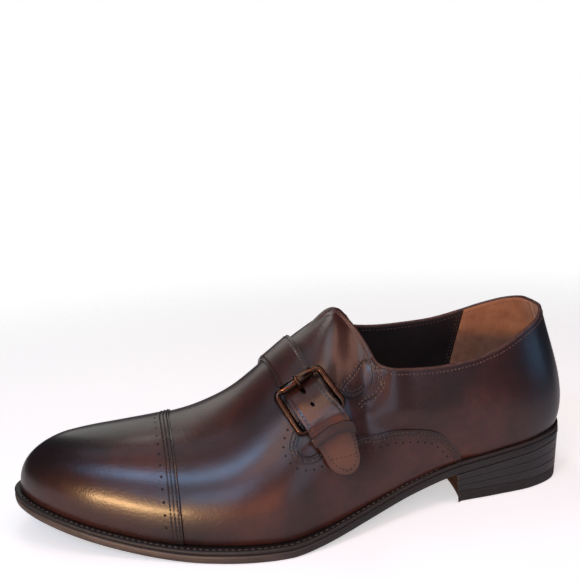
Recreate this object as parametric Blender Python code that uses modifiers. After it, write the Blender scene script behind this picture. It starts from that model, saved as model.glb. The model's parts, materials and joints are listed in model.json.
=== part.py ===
"""Left cap-toe monk-strap shoe. Metres, +Z up, toe towards -X, buckle side towards -Y.

Shapes are laid out in millimetres as (station, side, height): station runs from the back
of the heel to the toe tip, side is negative on the outer (buckle) side.
"""

import bmesh
import bpy
import numpy as np

MM = 0.001
MIDDLE_STATION = 151.64
MIDDLE_SIDE = -7.12

GAP = 0.3
OUTSOLE_THICKNESS = 4.0
WELT_THICKNESS = 2.0
INSOLE_THICKNESS = 1.9
UPPER_WALL = 2.0
FEATHER_HEIGHT = OUTSOLE_THICKNESS + WELT_THICKNESS + 2 * GAP
RING_POINTS = 104
UPPER_ROWS = 10
RIDGE_START = 24

HEEL_LENGTH = 75.0
BREAST_HOLLOW = 5.0
TOP_PIECE_THICKNESS = 6.0
HEEL_LIFTS = 3
HEEL_TAPER = 1.5

STRAP_THICKNESS = 1.8
KEEPER_REACH = 49.4
KEEPER_WIDTH = 7.2
KEEPER_WALL = 0.9
TAB_THICKNESS = 1.0
WIRE_RADIUS = 1.35
HINGE_RADIUS = 1.0
ROLLER_RADIUS = 2.1
ROLLER_LENGTH = 18.0
FRAME_HALF_WIDTH = 12.8
TOP_BAR_REACH = 24.0
HINGE_REACH = 42.0

# Edge of the sole: station, outer side, inner side.
OUTLINE = np.array([
    (0.0, 0.0, 0.0),
    (2.0, -11.7, 11.7),
    (10.0, -24.5, 24.5),
    (26.0, -32.3, 32.3),
    (50.0, -35.0, 34.0),
    (75.0, -36.3, 30.6),
    (100.0, -41.2, 26.6),
    (125.0, -49.4, 29.0),
    (150.0, -57.2, 36.5),
    (170.0, -61.0, 42.5),
    (190.0, -59.3, 46.0),
    (210.0, -53.6, 46.8),
    (230.0, -45.6, 46.2),
    (250.0, -36.5, 44.2),
    (268.0, -27.5, 41.0),
    (283.0, -17.5, 36.6),
    (295.0, -6.8, 30.2),
    (302.5, 4.0, 22.8),
    (305.0, 14.0, 14.0),
])

# Height of the outsole's underside: station, height.
UNDERSIDE = np.array([
    (0.0, 25.5),
    (66.0, 17.5),
    (75.0, 16.4),
    (100.0, 12.3),
    (120.0, 8.6),
    (140.0, 4.4),
    (155.0, 1.5),
    (168.0, 0.0),
    (189.0, 0.0),
    (210.0, 0.0),
    (228.0, 1.0),
    (250.0, 4.0),
    (275.0, 9.3),
    (305.0, 16.3),
])

# How far the foot of the upper stands in from the sole's edge: station, outer, inner.
FEATHER_INSET = np.array([
    (0.0, 1.6, 1.6),
    (60.0, 1.8, 1.8),
    (110.0, 2.6, 2.2),
    (150.0, 4.4, 3.6),
    (190.0, 5.2, 4.4),
    (260.0, 5.0, 4.6),
    (305.0, 4.4, 4.4),
])

# Cross sections of the last. Each starts at the foot of the upper, a fraction `along` of
# the way from heel to toe, and ends at a top point on the topline or on the front ridge.
# along, top station, outer side, outer height, inner side, inner height,
# rise and bulge (outer, inner) of the lower wall, drop, bulge and toeward lead of the
# upper wall.
SECTIONS = np.array([
    (0.0000, 10.3, 0.0, 97.8, 0.0, 97.8, 18, 9.0, 9.0, -26, 6.5, 0),
    (0.0350, 11.3, -10.0, 96.7, 10.0, 98.2, 18, 8.0, 8.0, -25, 5.5, 0),
    (0.0750, 17.5, -18.5, 92.6, 18.5, 96.7, 18, 7.0, 7.0, -22, 4.0, 0),
    (0.1250, 29.8, -25.0, 87.3, 25.0, 93.2, 18, 5.5, 5.5, -20, 3.0, 0),
    (0.1750, 44.0, -28.8, 81.3, 28.5, 89.1, 18, 5.0, 5.5, -18, 2.5, 0),
    (0.2250, 60.0, -30.8, 77.0, 30.5, 85.7, 18, 4.5, 7.0, -18, 2.5, 0),
    (0.2750, 78.0, -31.8, 75.3, 31.6, 84.5, 18, 3.5, 10.0, -18, 3.0, 0),
    (0.3250, 97.0, -32.3, 76.0, 31.8, 84.6, 20, 2.0, 11.0, -18, 4.0, 0),
    (0.3600, 109.5, -32.3, 78.0, 30.0, 86.5, 24, 1.0, 10.0, -16, 4.0, 2),
    (0.3850, 115.0, -27.5, 81.0, 25.0, 89.3, 28, 1.0, 9.0, -13, 4.5, 6),
    (0.4050, 116.5, -19.0, 87.3, 17.5, 93.2, 32, 1.0, 7.0, -11, 7.0, 9),
    (0.4350, 120.0, -8.5, 96.8, 9.0, 99.0, 38, 1.0, 5.0, -6.5, 12.5, 7),
    (0.4615, 126.5, 1.0, 104.8, 1.0, 104.8, 44, 1.5, 4.0, -0.5, 20.5, 4),
    (0.5130, 146.0, 1.5, 94.0, 1.5, 94.0, 42, 2.5, 4.0, 0, 22.0, 1.5),
    (0.5650, 166.0, 2.0, 79.6, 2.0, 79.6, 36, 3.0, 4.0, 0, 24.0, 0),
    (0.6250, 186.0, 3.0, 65.0, 3.0, 65.0, 30, 3.0, 3.5, 0, 27.0, 0),
    (0.6800, 204.0, 4.0, 57.2, 4.0, 57.2, 26, 3.0, 3.0, 0, 29.0, 0),
    (0.7400, 222.0, 5.0, 53.4, 5.0, 53.4, 24, 2.5, 2.5, 0, 28.0, 0),
    (0.8000, 240.0, 6.5, 51.6, 6.5, 51.6, 23, 2.0, 2.0, 0, 25.0, 0),
    (0.8700, 256.0, 8.5, 50.3, 8.5, 50.3, 21, 1.5, 1.5, 0, 21.0, 0),
    (0.9350, 265.0, 10.0, 49.5, 10.0, 49.5, 18, 1.2, 1.2, 0, 18.5, 0),
    (1.0000, 270.0, 12.0, 48.9, 12.0, 48.9, 16, 1.0, 1.0, 0, 18.0, 0),
])

# The strap's two edges on the last. `across` runs from -1 at the outer foot of the upper,
# through 0 on the ridge, to 1 at the inner foot.
# reach from the ridge, toe edge (along, across), heel edge (along, across), lift.
STRAP = np.array([
    (-44.0, 0.560, 0.700, 0.507, 0.690, 0.55),
    (-28.0, 0.566, 0.450, 0.518, 0.440, 0.55),
    (-13.0, 0.569, 0.220, 0.525, 0.210, 0.55),
    (0.0, 0.570, 0.000, 0.528, 0.000, 0.55),
    (10.0, 0.563, -0.170, 0.521, -0.190, 0.55),
    (18.0, 0.554, -0.300, 0.509, -0.330, 0.55),
    (24.0, 0.546, -0.385, 0.500, -0.410, 0.7),
    (29.0, 0.538, -0.448, 0.491, -0.470, 2.6),
    (35.0, 0.527, -0.525, 0.480, -0.537, 4.8),
    (42.0, 0.513, -0.615, 0.462, -0.615, 6.35),
    (49.0, 0.500, -0.685, 0.448, -0.672, 5.1),
    (57.0, 0.486, -0.755, 0.434, -0.735, 2.7),
    (65.0, 0.475, -0.825, 0.424, -0.800, 0.9),
    (73.0, 0.464, -0.890, 0.414, -0.860, 0.5),
])
STRAP_START = -44.0
STRAP_END = 67.0

# The prong past its curl: rise, normal, radius.
PRONG = (
    (-8.5, -0.8, 0.6),
    (-4.0, -1.3, 0.65),
    (0.5, -1.7, 0.7),
    (4.0, -1.9, 0.8),
    (6.5, -0.8, 0.9),
    (8.2, 1.2, 0.95),
    (9.8, 3.0, 1.0),
    (11.8, 3.65, 1.0),
    (14.0, 3.4, 0.9),
)


def spline(at, table):
    """Smooth interpolation of a table's columns against its first column."""
    keys, values = table[:, 0], table[:, 1:]
    slopes = np.gradient(values, keys, axis=0)
    at = np.asarray(at, float)[..., None]
    i = np.clip(np.searchsorted(keys, at[..., 0]) - 1, 0, len(keys) - 2)
    span = (keys[i + 1] - keys[i])[..., None]
    t = (at - keys[i][..., None]) / span
    start = (1 - t) ** 2 * ((1 + 2 * t) * values[i] + t * span * slopes[i])
    return start + t**2 * ((3 - 2 * t) * values[i + 1] - (1 - t) * span * slopes[i + 1])


def unit(vectors):
    return vectors / np.linalg.norm(vectors, axis=-1, keepdims=True)


def outline(count=RING_POINTS):
    """Edge of the sole as (station, side): heel, outer side, toe tip, inner side."""
    loop = np.vstack([OUTLINE[:, :2], OUTLINE[-2:0:-1, [0, 2]]])
    wrapped = np.vstack([loop[-3:], loop, loop[:4]])
    steps = np.linalg.norm(np.diff(wrapped, axis=0), axis=1) ** 0.75
    keys = np.concatenate([[0.0], np.cumsum(steps)])
    table = np.column_stack([keys, wrapped])
    tip = keys[3 + len(OUTLINE) - 1]
    halves = []
    for low, high in ((keys[3], tip), (tip, keys[3 + len(loop)])):
        fine = spline(np.linspace(low, high, 2400), table)
        length = np.cumsum(np.linalg.norm(np.diff(fine, axis=0, prepend=fine[:1]), axis=1))
        at = np.linspace(0, length[-1], count // 2 + 1)[:-1]
        halves.append(np.column_stack([np.interp(at, length, fine[:, k]) for k in (0, 1)]))
    return np.vstack(halves)


def outwards(ring):
    """Horizontal outward normals of a ring that runs heel, outer side, toe, inner side."""
    step = np.roll(ring, -1, axis=0) - np.roll(ring, 1, axis=0)
    return unit(np.column_stack([step[:, 1], -step[:, 0]]))


def underside(station):
    return np.maximum(spline(station, UNDERSIDE)[..., 0], 0.0)


def featherInset(ring):
    outer, inner = (np.interp(ring[:, 0], FEATHER_INSET[:, 0], FEATHER_INSET[:, k]) for k in (1, 2))
    return np.where(np.arange(len(ring)) <= len(ring) // 2, outer, inner)


def soleRing(inset, height):
    """The sole's edge moved in by inset, at a height above the underside."""
    ring = outline()
    ring = ring - outwards(ring) * np.broadcast_to(inset, len(ring))[:, None]
    return np.column_stack([ring, underside(ring[:, 0]) + height])


def lastSections():
    """The four control points of each section, for the outer half and the inner half."""
    ring = outline(4 * RING_POINTS)
    count, half = len(ring), len(ring) // 2
    out = outwards(ring)
    foot = ring - out * featherInset(ring)[:, None]
    foot = np.column_stack([foot, underside(foot[:, 0]) + FEATHER_HEIGHT])
    ridge = SECTIONS[12:, [1, 3]]
    halves = []
    for side in (-1, 1):
        i = np.arange(half + 1) if side < 0 else (count - np.arange(half + 1)) % count
        shape = spline(np.linspace(0, 1, half + 1), SECTIONS).T
        station, rise, drop, bulge, lead = shape[0], shape[5], shape[8], shape[9], shape[10]
        across, height = (shape[1], shape[2]) if side < 0 else (shape[3], shape[4])
        low = shape[6] if side < 0 else shape[7]
        ahead = np.clip((station - 225) / 45, 0, 1)
        collar = np.clip((ridge[0, 0] - station) / 30, 0, 1)
        turned = np.maximum(ahead, collar)[:, None]
        over = unit(out[i] * turned + np.array([0.0, side]) * (1 - turned))
        slope = np.interp(station, ridge[:, 0], np.gradient(ridge[:, 1], ridge[:, 0]))
        drop = drop + np.where(collar > 0, 0.0, slope * over[:, 0] * bulge)
        top = np.column_stack([station, across, height])
        lower = foot[i] + np.column_stack([out[i] * low[:, None], rise])
        upper = top + np.column_stack([over * bulge[:, None], drop])
        upper[:, 0] += lead
        halves.append(np.stack([foot[i], lower, upper, top], axis=1))
    return np.stack(halves)


LAST = lastSections()


def onLast(along, across):
    """Points of the last's surface; see the STRAP table for the two coordinates."""
    along, across = np.broadcast_arrays(np.asarray(along, float), np.asarray(across, float))
    at = np.clip(along, 0, 1) * (LAST.shape[1] - 1)
    i = np.minimum(at.astype(int), LAST.shape[1] - 2)
    t = (at - i)[..., None, None]
    side = (across > 0).astype(int)
    control = LAST[side, i] * (1 - t) + LAST[side, i + 1] * t
    w = (1 - np.abs(across))[..., None]
    first, second, third, fourth = (control[..., k, :] for k in range(4))
    return (
        (1 - w) ** 3 * first
        + 3 * w * (1 - w) ** 2 * second
        + 3 * w**2 * (1 - w) * third
        + w**3 * fourth
    )


def offLast(along, across, lift):
    """Points lifted off the last along its outward normal."""
    along, across, lift = np.broadcast_arrays(along, across, lift)
    step = 0.004
    d_along = onLast(along + step, across) - onLast(along - step, across)
    d_across = onLast(along, across + step) - onLast(along, across - step)
    return onLast(along, across) + unit(np.cross(d_along, d_across)) * lift[..., None]


def strapOnLast(reach, v, lift=0.0):
    """Points of the strap as it would lie on the last: v is -1 to 1 from toe to heel edge."""
    reach, v, lift = np.broadcast_arrays(
        np.asarray(reach, float), np.asarray(v, float), np.asarray(lift, float)
    )
    row = spline(reach, STRAP)
    part = (v + 1) / 2
    along = row[..., 0] * (1 - part) + row[..., 2] * part
    across = row[..., 1] * (1 - part) + row[..., 3] * part
    return offLast(along, across, row[..., 4] + lift)


def buckleFrame():
    """Centre and axes of the rigid buckle: bar towards the heel, rise towards the ridge."""
    liftTop = STRAP_THICKNESS + GAP + ROLLER_RADIUS + 0.4
    top = strapOnLast(TOP_BAR_REACH, 0, liftTop)
    hinge = strapOnLast(HINGE_REACH, 0, -2.8)
    bar = unit(strapOnLast(31, 1) - strapOnLast(31, -1))
    rise = unit(top - hinge)
    bar = unit(bar - rise * bar.dot(rise))
    normal = np.cross(bar, rise)
    if normal[1] > 0:
        normal = -normal
    return {
        "centre": (top + hinge) / 2, "half": np.linalg.norm(top - hinge) / 2,
        "bar": bar, "rise": rise, "normal": normal,
    }


BUCKLE = buckleFrame()


def onStrap(reach, v, lift=0.0):
    """Points of the strap, pulled flat across where it runs through the buckle."""
    raw = strapOnLast(reach, v, lift)
    flat = np.interp(reach, (22.0, 34.0, 45.0, 56.0), (0.0, 1.0, 1.0, 0.0))
    offset = (strapOnLast(reach, 0.0, lift) - raw) @ BUCKLE["normal"]
    return raw + (flat * offset)[..., None] * BUCKLE["normal"]


def addMaterial(name, colour, roughness, metallic=0.0):
    material = bpy.data.materials.new(name)
    material.use_nodes = True
    shader = material.node_tree.nodes["Principled BSDF"]
    shader.inputs["Base Color"].default_value = (*colour, 1.0)
    shader.inputs["Roughness"].default_value = roughness
    shader.inputs["Metallic"].default_value = metallic
    return material


def addSolid(name, points, faces, material):
    """A closed mesh object from points in the shoe's own millimetres."""
    points = np.asarray(points, float).reshape(-1, 3)
    place = np.column_stack([
        MIDDLE_STATION - points[:, 0], points[:, 1] - MIDDLE_SIDE, points[:, 2]
    ]) * MM
    mesh = bpy.data.meshes.new(name)
    mesh.from_pydata(place.tolist(), [], faces)
    work = bmesh.new()
    work.from_mesh(mesh)
    bmesh.ops.recalc_face_normals(work, faces=work.faces)
    if work.calc_volume(signed=True) < 0:
        bmesh.ops.reverse_faces(work, faces=work.faces)
    work.to_mesh(mesh)
    work.free()
    mesh.materials.append(material)
    solid = bpy.data.objects.new(name, mesh)
    SHOE.objects.link(solid)
    return solid


def bands(rows, columns, closedRows=False, closedColumns=True):
    """Quads between successive rows of a grid of points."""
    lastRow = rows if closedRows else rows - 1
    lastColumn = columns if closedColumns else columns - 1
    return [
        (
            i * columns + j,
            i * columns + (j + 1) % columns,
            (i + 1) % rows * columns + (j + 1) % columns,
            (i + 1) % rows * columns + j,
        )
        for i in range(lastRow)
        for j in range(lastColumn)
    ]


def crossFaces(first, count):
    """Fills a ring with strips from its outer side to its inner side."""
    strips = [(first, first + 1, first + count - 1)]
    for i in range(1, count // 2 - 1):
        strips.append((first + i, first + i + 1, first + count - i - 1, first + count - i))
    half = count // 2
    strips.append((first + half - 1, first + half, first + half + 1))
    return strips


def addPlate(name, loops, material):
    """A plate that follows the sole, from its bottom loop to its top loop."""
    count = len(loops[0])
    faces = bands(len(loops), count) + crossFaces(0, count)
    faces += crossFaces(count * (len(loops) - 1), count)
    return addSolid(name, np.vstack(loops), faces, material)


def addWelt(material):
    inner = featherInset(outline()) + UPPER_WALL + 0.3
    low = OUTSOLE_THICKNESS + GAP
    high = low + WELT_THICKNESS
    profile = ((0.5, low), (0.1, (low + high) / 2), (0.6, high), (inner, high), (inner, low))
    loops = [soleRing(inset, height) for inset, height in profile]
    faces = bands(len(loops), RING_POINTS, closedRows=True)
    return addSolid("welt", np.vstack(loops), faces, material)


def addUpper(material):
    """One hollow shell: the last's surface from foot to topline, thickened inwards."""
    half = RING_POINTS // 2
    index, points, faces = {}, [], []
    across = np.linspace(1, 1e-6, UPPER_ROWS + 1)
    for i in range(RING_POINTS):
        step = min(i, RING_POINTS - i)
        side = -1 if i <= half else 1
        column = onLast(step / half, side * across)
        for j, point in enumerate(column):
            joined = j == UPPER_ROWS and side > 0 and step >= RIDGE_START
            if joined:
                index[i, j] = index[step, j]
            else:
                index[i, j] = len(points)
                points.append(point)
    for i in range(RING_POINTS):
        k = (i + 1) % RING_POINTS
        for j in range(UPPER_ROWS):
            corners = (index[i, j], index[k, j], index[k, j + 1], index[i, j + 1])
            faces.append(tuple(dict.fromkeys(corners)))
    upper = addSolid("upper", points, faces, material)
    turnOutwards(upper)
    shell = upper.modifiers.new("wall", "SOLIDIFY")
    shell.thickness = UPPER_WALL * MM
    shell.offset = -1
    shell.use_even_offset = True
    shell.use_rim = True
    return upper


def turnOutwards(sheet):
    """Points an open sheet's faces away from the middle of the shoe."""
    work = bmesh.new()
    work.from_mesh(sheet.data)
    outer = sum(1 if face.normal.dot(face.calc_center_median()) > 0 else -1 for face in work.faces)
    if outer < 0:
        bmesh.ops.reverse_faces(work, faces=work.faces)
    work.to_mesh(sheet.data)
    work.free()


def heelRing(inset):
    """Outline of the heel with its hollow breast, moved in by inset, as (station, side)."""
    rows = outline(4 * RING_POINTS)
    half = len(rows) // 2
    outer, inner = rows[: half + 1], np.vstack([rows[:1], rows[:half - 1:-1]])
    stations = np.array([0.0, 0.6, 2.4, 5.5, 10, 17, 26, 37, 50, 63, HEEL_LENGTH])
    outerSide = np.interp(stations, outer[:, 0], outer[:, 1])
    innerSide = np.interp(stations, inner[:, 0], inner[:, 1])
    breast = np.linspace(outerSide[-1], innerSide[-1], 9)[1:-1]
    middle = (outerSide[-1] + innerSide[-1]) / 2
    width = (innerSide[-1] - outerSide[-1]) / 2
    hollow = HEEL_LENGTH - BREAST_HOLLOW * (1 - ((breast - middle) / width) ** 2)
    ring = np.vstack([
        np.column_stack([stations, outerSide]),
        np.column_stack([hollow, breast]),
        np.column_stack([stations, innerSide])[:0:-1],
    ])
    return ring - outwards(ring) * inset


def addHeelSlab(name, levels, material):
    """A heel layer between level functions of station; each level is (taper, height)."""
    loops = []
    for taper, level in levels:
        ring = heelRing(0.3 + taper)
        loops.append(np.column_stack([ring, level(ring[:, 0])]))
    count = len(loops[0])
    faces = bands(len(loops), count)
    faces.append(tuple(range(count)))
    faces.append(tuple(range(count * (len(loops) - 1), count * len(loops))))
    return addSolid(name, np.vstack(loops), faces, material)


def addHeel(leather, rubber):
    def seatLevel(part, lift=0.0):
        def level(station):
            top = underside(station) - GAP
            return TOP_PIECE_THICKNESS + part * (top - TOP_PIECE_THICKNESS) + lift
        return level

    def flat(height):
        return lambda station: 0 * station + height

    for k in range(HEEL_LIFTS):
        low, high = k / HEEL_LIFTS, (k + 1) / HEEL_LIFTS
        tapers = [HEEL_TAPER * 0.75 * (1 - part) for part in (low, high)]
        levels = [(tapers[0], seatLevel(low, GAP)), (tapers[1], seatLevel(high))]
        addHeelSlab(f"heel_lift_{k + 1}", levels, leather)
    levels = [
        (HEEL_TAPER + 0.4, flat(0.0)),
        (HEEL_TAPER, flat(0.6)),
        (HEEL_TAPER * 0.75, flat(TOP_PIECE_THICKNESS)),
    ]
    addHeelSlab("top_piece", levels, rubber)


def addSheet(name, grid, thickness, material, holes=(), closed=False):
    """A sheet of even thickness from a grid of points on its inner face."""
    grid = np.asarray(grid, float)
    rows, columns = grid.shape[:2]
    if closed:
        d_column = np.roll(grid, -1, axis=1) - np.roll(grid, 1, axis=1)
    else:
        d_column = np.gradient(grid, axis=1)
    d_row = np.gradient(grid, axis=0)
    outer = grid + unit(np.cross(d_column, d_row)) * thickness
    cells = [
        (i, j)
        for i in range(rows - 1)
        for j in range(columns if closed else columns - 1)
        if (i, j) not in holes
    ]
    faces, edges = [], {}
    for i, j in cells:
        k = (j + 1) % columns
        corners = (i * columns + j, i * columns + k, (i + 1) * columns + k, (i + 1) * columns + j)
        faces.append(corners)
        faces.append(tuple(c + rows * columns for c in reversed(corners)))
        for a, b in zip(corners, corners[1:] + corners[:1]):
            edges.setdefault((min(a, b), max(a, b)), []).append((a, b))
    for uses in edges.values():
        if len(uses) == 1:
            a, b = uses[0]
            faces.append((b, a, a + rows * columns, b + rows * columns))
    points = np.vstack([grid.reshape(-1, 3), outer.reshape(-1, 3)])
    used = sorted({c for face in faces for c in face})
    renumber = {old: new for new, old in enumerate(used)}
    faces = [tuple(renumber[c] for c in face) for face in faces]
    return addSolid(name, points[used], faces, material)


def addTube(name, path, radii, material, sides=8, closed=False):
    """A round bar along a path, with a radius for each point."""
    path = np.asarray(path, float)
    if closed:
        tangent = unit(np.roll(path, -1, axis=0) - np.roll(path, 1, axis=0))
    else:
        tangent = unit(np.gradient(path, axis=0))
    across = unit(np.cross(tangent, BUCKLE["normal"] if closed else BUCKLE["bar"]))
    other = np.cross(tangent, across)
    angle = np.linspace(0, 2 * np.pi, sides, endpoint=False) + np.pi / sides
    radii = np.broadcast_to(radii, len(path))[:, None, None]
    circle = across[:, None] * np.cos(angle)[None, :, None] + other[:, None] * np.sin(angle)[None, :, None]
    points = path[:, None] + circle * radii
    faces = bands(len(path), sides, closedRows=closed)
    if not closed:
        faces.append(tuple(range(sides)))
        faces.append(tuple(range(sides * (len(path) - 1), sides * len(path))))
    return addSolid(name, points, faces, material)


def inBuckle(bar, rise, normal=0.0):
    bar, rise, normal = np.broadcast_arrays(bar, rise, normal)
    return (
        BUCKLE["centre"]
        + bar[..., None] * BUCKLE["bar"]
        + rise[..., None] * BUCKLE["rise"]
        + normal[..., None] * BUCKLE["normal"]
    )


def addBuckle(metal):
    half, corner = BUCKLE["half"], 3.0
    turn = np.radians([0, 30, 60, 90])
    centres = ((1, 1), (-1, 1), (-1, -1), (1, -1))
    loop, radii = [], []
    for quarter, (a, b) in enumerate(centres):
        angle = turn + quarter * np.pi / 2
        x = a * (FRAME_HALF_WIDTH - corner) + corner * np.cos(angle)
        y = b * (half - corner) + corner * np.sin(angle)
        loop += list(inBuckle(x, y))
        radii += list(np.where((y < -half + 1.2) & (quarter > 1), HINGE_RADIUS, WIRE_RADIUS))
    addTube("buckle_frame", loop, np.array(radii), metal, closed=True)

    angle = np.linspace(0, 2 * np.pi, 12, endpoint=False)
    profile = [
        (-ROLLER_LENGTH / 2, WIRE_RADIUS + 0.3), (-ROLLER_LENGTH / 2, ROLLER_RADIUS),
        (ROLLER_LENGTH / 2, ROLLER_RADIUS), (ROLLER_LENGTH / 2, WIRE_RADIUS + 0.3),
    ]
    loops = [
        inBuckle(x, half + radius * np.cos(angle), radius * np.sin(angle))
        for x, radius in profile
    ]
    addSolid("buckle_roller", np.vstack(loops), bands(4, 12, closedRows=True), metal)

    # The prong curls round the hinge bar, runs under the strap and rests on the roller.
    curl = HINGE_RADIUS + 0.3 + 0.6
    path = [(-half - curl * np.sin(a), -curl * np.cos(a)) for a in np.radians(np.linspace(200, 0, 9))]
    radii = [0.6] * len(path)
    for rise, normal, radius in PRONG:
        path.append((rise, normal))
        radii.append(radius)
    path = np.array(path)
    addTube("buckle_prong", inBuckle(0.0, path[:, 0], path[:, 1]), np.array(radii), metal, sides=8)


def addStrap(material):
    reach = np.concatenate([
        np.linspace(STRAP_START, 22, 14), [25.4, 30.2, 34.4, 36.4], np.linspace(40, STRAP_END, 11)
    ])
    v = np.array([-1, -0.6, -0.17, 0.17, 0.6, 1])
    tip = np.clip((reach - (STRAP_END - 14)) / 14, 0, 1) ** 1.6
    grid = onStrap(reach[:, None] - 8.0 * tip[:, None] * v**2, v[None, :])
    prong = 14
    addSheet("strap", grid, STRAP_THICKNESS, material, holes={(prong, 2), (prong + 2, 2)})


def addKeeper(material):
    """A closed leather loop round the strap just below the buckle."""
    side = 1 + 0.07
    low, high = -GAP - 0.4, STRAP_THICKNESS + GAP + 0.4
    around = [(-side, low), (-0.5, low), (0, low), (0.5, low), (side, low),
              (side + 0.02, (low + high) / 2),
              (side, high), (0.5, high), (0, high), (-0.5, high), (-side, high),
              (-side - 0.02, (low + high) / 2)]
    v, lift = np.array(around).T
    reach = KEEPER_REACH + np.linspace(-0.5, 0.5, 3)[:, None] * KEEPER_WIDTH
    grid = onStrap(reach, v[None, :], lift[None, :])
    addSheet("keeper_loop", grid, -KEEPER_WALL, material, closed=True)


def addTab(material):
    """The leather tab sewn to the upper that folds round the buckle's hinge bar."""
    half, inner = BUCKLE["half"], HINGE_RADIUS + 0.4
    reach = np.array([54.0, 51.2, 48.4, 46.0])
    v = np.array([-0.95, -0.45, -0.2, 0.2, 0.45, 0.95])
    flat = []
    for k, r in enumerate(reach):
        width = (0.80, 0.95, 1.0, 1.0)[k]
        row = spline(r, STRAP)
        flat.append(strapOnLast(r, v * width, 0.5 + TAB_THICKNESS - row[4]))
    fold = []
    for a in np.radians([-90, -50, 0, 45, 90, 112]):
        radius = inner
        fold.append(inBuckle(v * 10.0, -half + radius * np.cos(a), radius * np.sin(a)))
    grid = np.array(flat + fold)
    holes = {(i, j) for i in range(len(flat) - 1, len(grid) - 1) for j in (2,)}
    addSheet("buckle_tab", grid, TAB_THICKNESS, material, holes=holes)


for old in list(bpy.data.objects):
    bpy.data.objects.remove(old, do_unlink=True)
SHOE = bpy.data.collections.new("monk_strap_shoe")
bpy.context.scene.collection.children.link(SHOE)

upperLeather = addMaterial("burnished_leather", (0.055, 0.016, 0.011), 0.32)
strapLeather = addMaterial("strap_leather", (0.085, 0.026, 0.015), 0.38)
soleLeather = addMaterial("sole_leather", (0.045, 0.033, 0.028), 0.55)
weltLeather = addMaterial("welt_leather", (0.012, 0.009, 0.008), 0.5)
heelLeather = addMaterial("stacked_heel", (0.020, 0.015, 0.013), 0.5)
heelRubber = addMaterial("heel_rubber", (0.012, 0.011, 0.010), 0.7)
insoleLeather = addMaterial("insole_leather", (0.22, 0.10, 0.05), 0.7)
bronze = addMaterial("antique_bronze", (0.16, 0.075, 0.04), 0.32, 1.0)

OUTSOLE_LOOPS = ((0.9, 0.0), (0.2, 0.8), (0.0, 3.2), (0.5, OUTSOLE_THICKNESS))
addPlate("outsole", [soleRing(inset, height) for inset, height in OUTSOLE_LOOPS], soleLeather)
addWelt(weltLeather)
addHeel(heelLeather, heelRubber)
insoleInset = featherInset(outline()) + UPPER_WALL + 0.7
insoleLow = OUTSOLE_THICKNESS + GAP
addPlate(
    "insole",
    [soleRing(insoleInset, insoleLow), soleRing(insoleInset, insoleLow + INSOLE_THICKNESS)],
    insoleLeather,
)
addUpper(upperLeather)
addStrap(strapLeather)
addKeeper(strapLeather)
addTab(strapLeather)
addBuckle(bronze)
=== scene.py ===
import json
import math

import bmesh
import bpy
import numpy as np
from mathutils import Matrix, Vector
from mathutils.kdtree import KDTree

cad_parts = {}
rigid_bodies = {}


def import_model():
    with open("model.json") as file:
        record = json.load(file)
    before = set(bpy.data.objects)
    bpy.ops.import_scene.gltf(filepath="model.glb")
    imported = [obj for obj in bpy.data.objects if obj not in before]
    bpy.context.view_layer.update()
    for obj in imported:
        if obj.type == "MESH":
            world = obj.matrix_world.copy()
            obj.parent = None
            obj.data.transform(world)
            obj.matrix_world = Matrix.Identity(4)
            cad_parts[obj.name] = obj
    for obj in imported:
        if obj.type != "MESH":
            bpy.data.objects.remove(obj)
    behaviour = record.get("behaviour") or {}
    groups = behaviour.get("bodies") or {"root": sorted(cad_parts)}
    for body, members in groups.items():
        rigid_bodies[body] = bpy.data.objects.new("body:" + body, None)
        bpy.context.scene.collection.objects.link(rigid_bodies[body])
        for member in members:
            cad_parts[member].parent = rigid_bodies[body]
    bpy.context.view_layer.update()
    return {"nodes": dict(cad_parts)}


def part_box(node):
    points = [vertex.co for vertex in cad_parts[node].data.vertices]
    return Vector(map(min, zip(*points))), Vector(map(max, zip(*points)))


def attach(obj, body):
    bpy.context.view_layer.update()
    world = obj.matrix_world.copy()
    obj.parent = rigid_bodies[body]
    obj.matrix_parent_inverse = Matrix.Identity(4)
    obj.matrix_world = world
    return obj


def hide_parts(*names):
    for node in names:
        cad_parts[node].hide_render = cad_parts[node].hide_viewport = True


for old in list(bpy.data.objects):
    bpy.data.objects.remove(old, do_unlink=True)
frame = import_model()
print("frame loaded:", len(frame["nodes"]), "nodes")

# Lengths are in millimetres as (station, side, height): station runs from the back of the
# heel to the toe, side is negative on the outer side, where the buckle is.
mm = 0.001
shoe = {
    "heelBackX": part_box("outsole")[1].x, "middleY": 0.00712,
    "gap": 0.3, "outsole": 4.0, "welt": 2.0, "insole": 1.9, "wall": 2.0,
    "heelLength": 75.0, "breastHollow": 5.0, "topPiece": 6.0, "lifts": 3, "heelTaper": 1.5,
    "strap": 1.8, "strapStart": -44.0, "strapEnd": 67.0,
    "keeperReach": 47.3, "keeperWidth": 3.9, "keeperWall": 0.8,
    "wire": 1.7, "hinge": 1.1, "roller": 2.3, "rollerLength": 18.0,
    "frameHalf": 12.8, "topBarReach": 24.0, "hingeReach": 42.0, "topBarLift": 2.5,
    "hingeLift": -2.8, "barReach": 31.0, "frameCorner": 3.0,
}
shoe["feather"] = shoe["outsole"] + shoe["welt"] + 2 * shoe["gap"]

# Edge of the sole: station, outer side, inner side.
outlineRows = np.array([
    (0.0, 0.0, 0.0), (2.0, -11.7, 11.7), (10.0, -24.5, 24.5), (26.0, -32.3, 32.3),
    (50.0, -35.0, 34.0), (75.0, -36.3, 30.6), (100.0, -41.2, 26.6), (125.0, -49.4, 29.0),
    (150.0, -57.2, 36.5), (170.0, -61.0, 42.5), (190.0, -59.3, 46.0), (210.0, -53.6, 46.8),
    (230.0, -45.6, 46.2), (250.0, -36.5, 44.2), (268.0, -27.5, 41.0), (283.0, -17.5, 36.6),
    (295.0, -6.8, 30.2), (302.5, 4.0, 22.8), (305.0, 14.0, 14.0),
])

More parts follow.
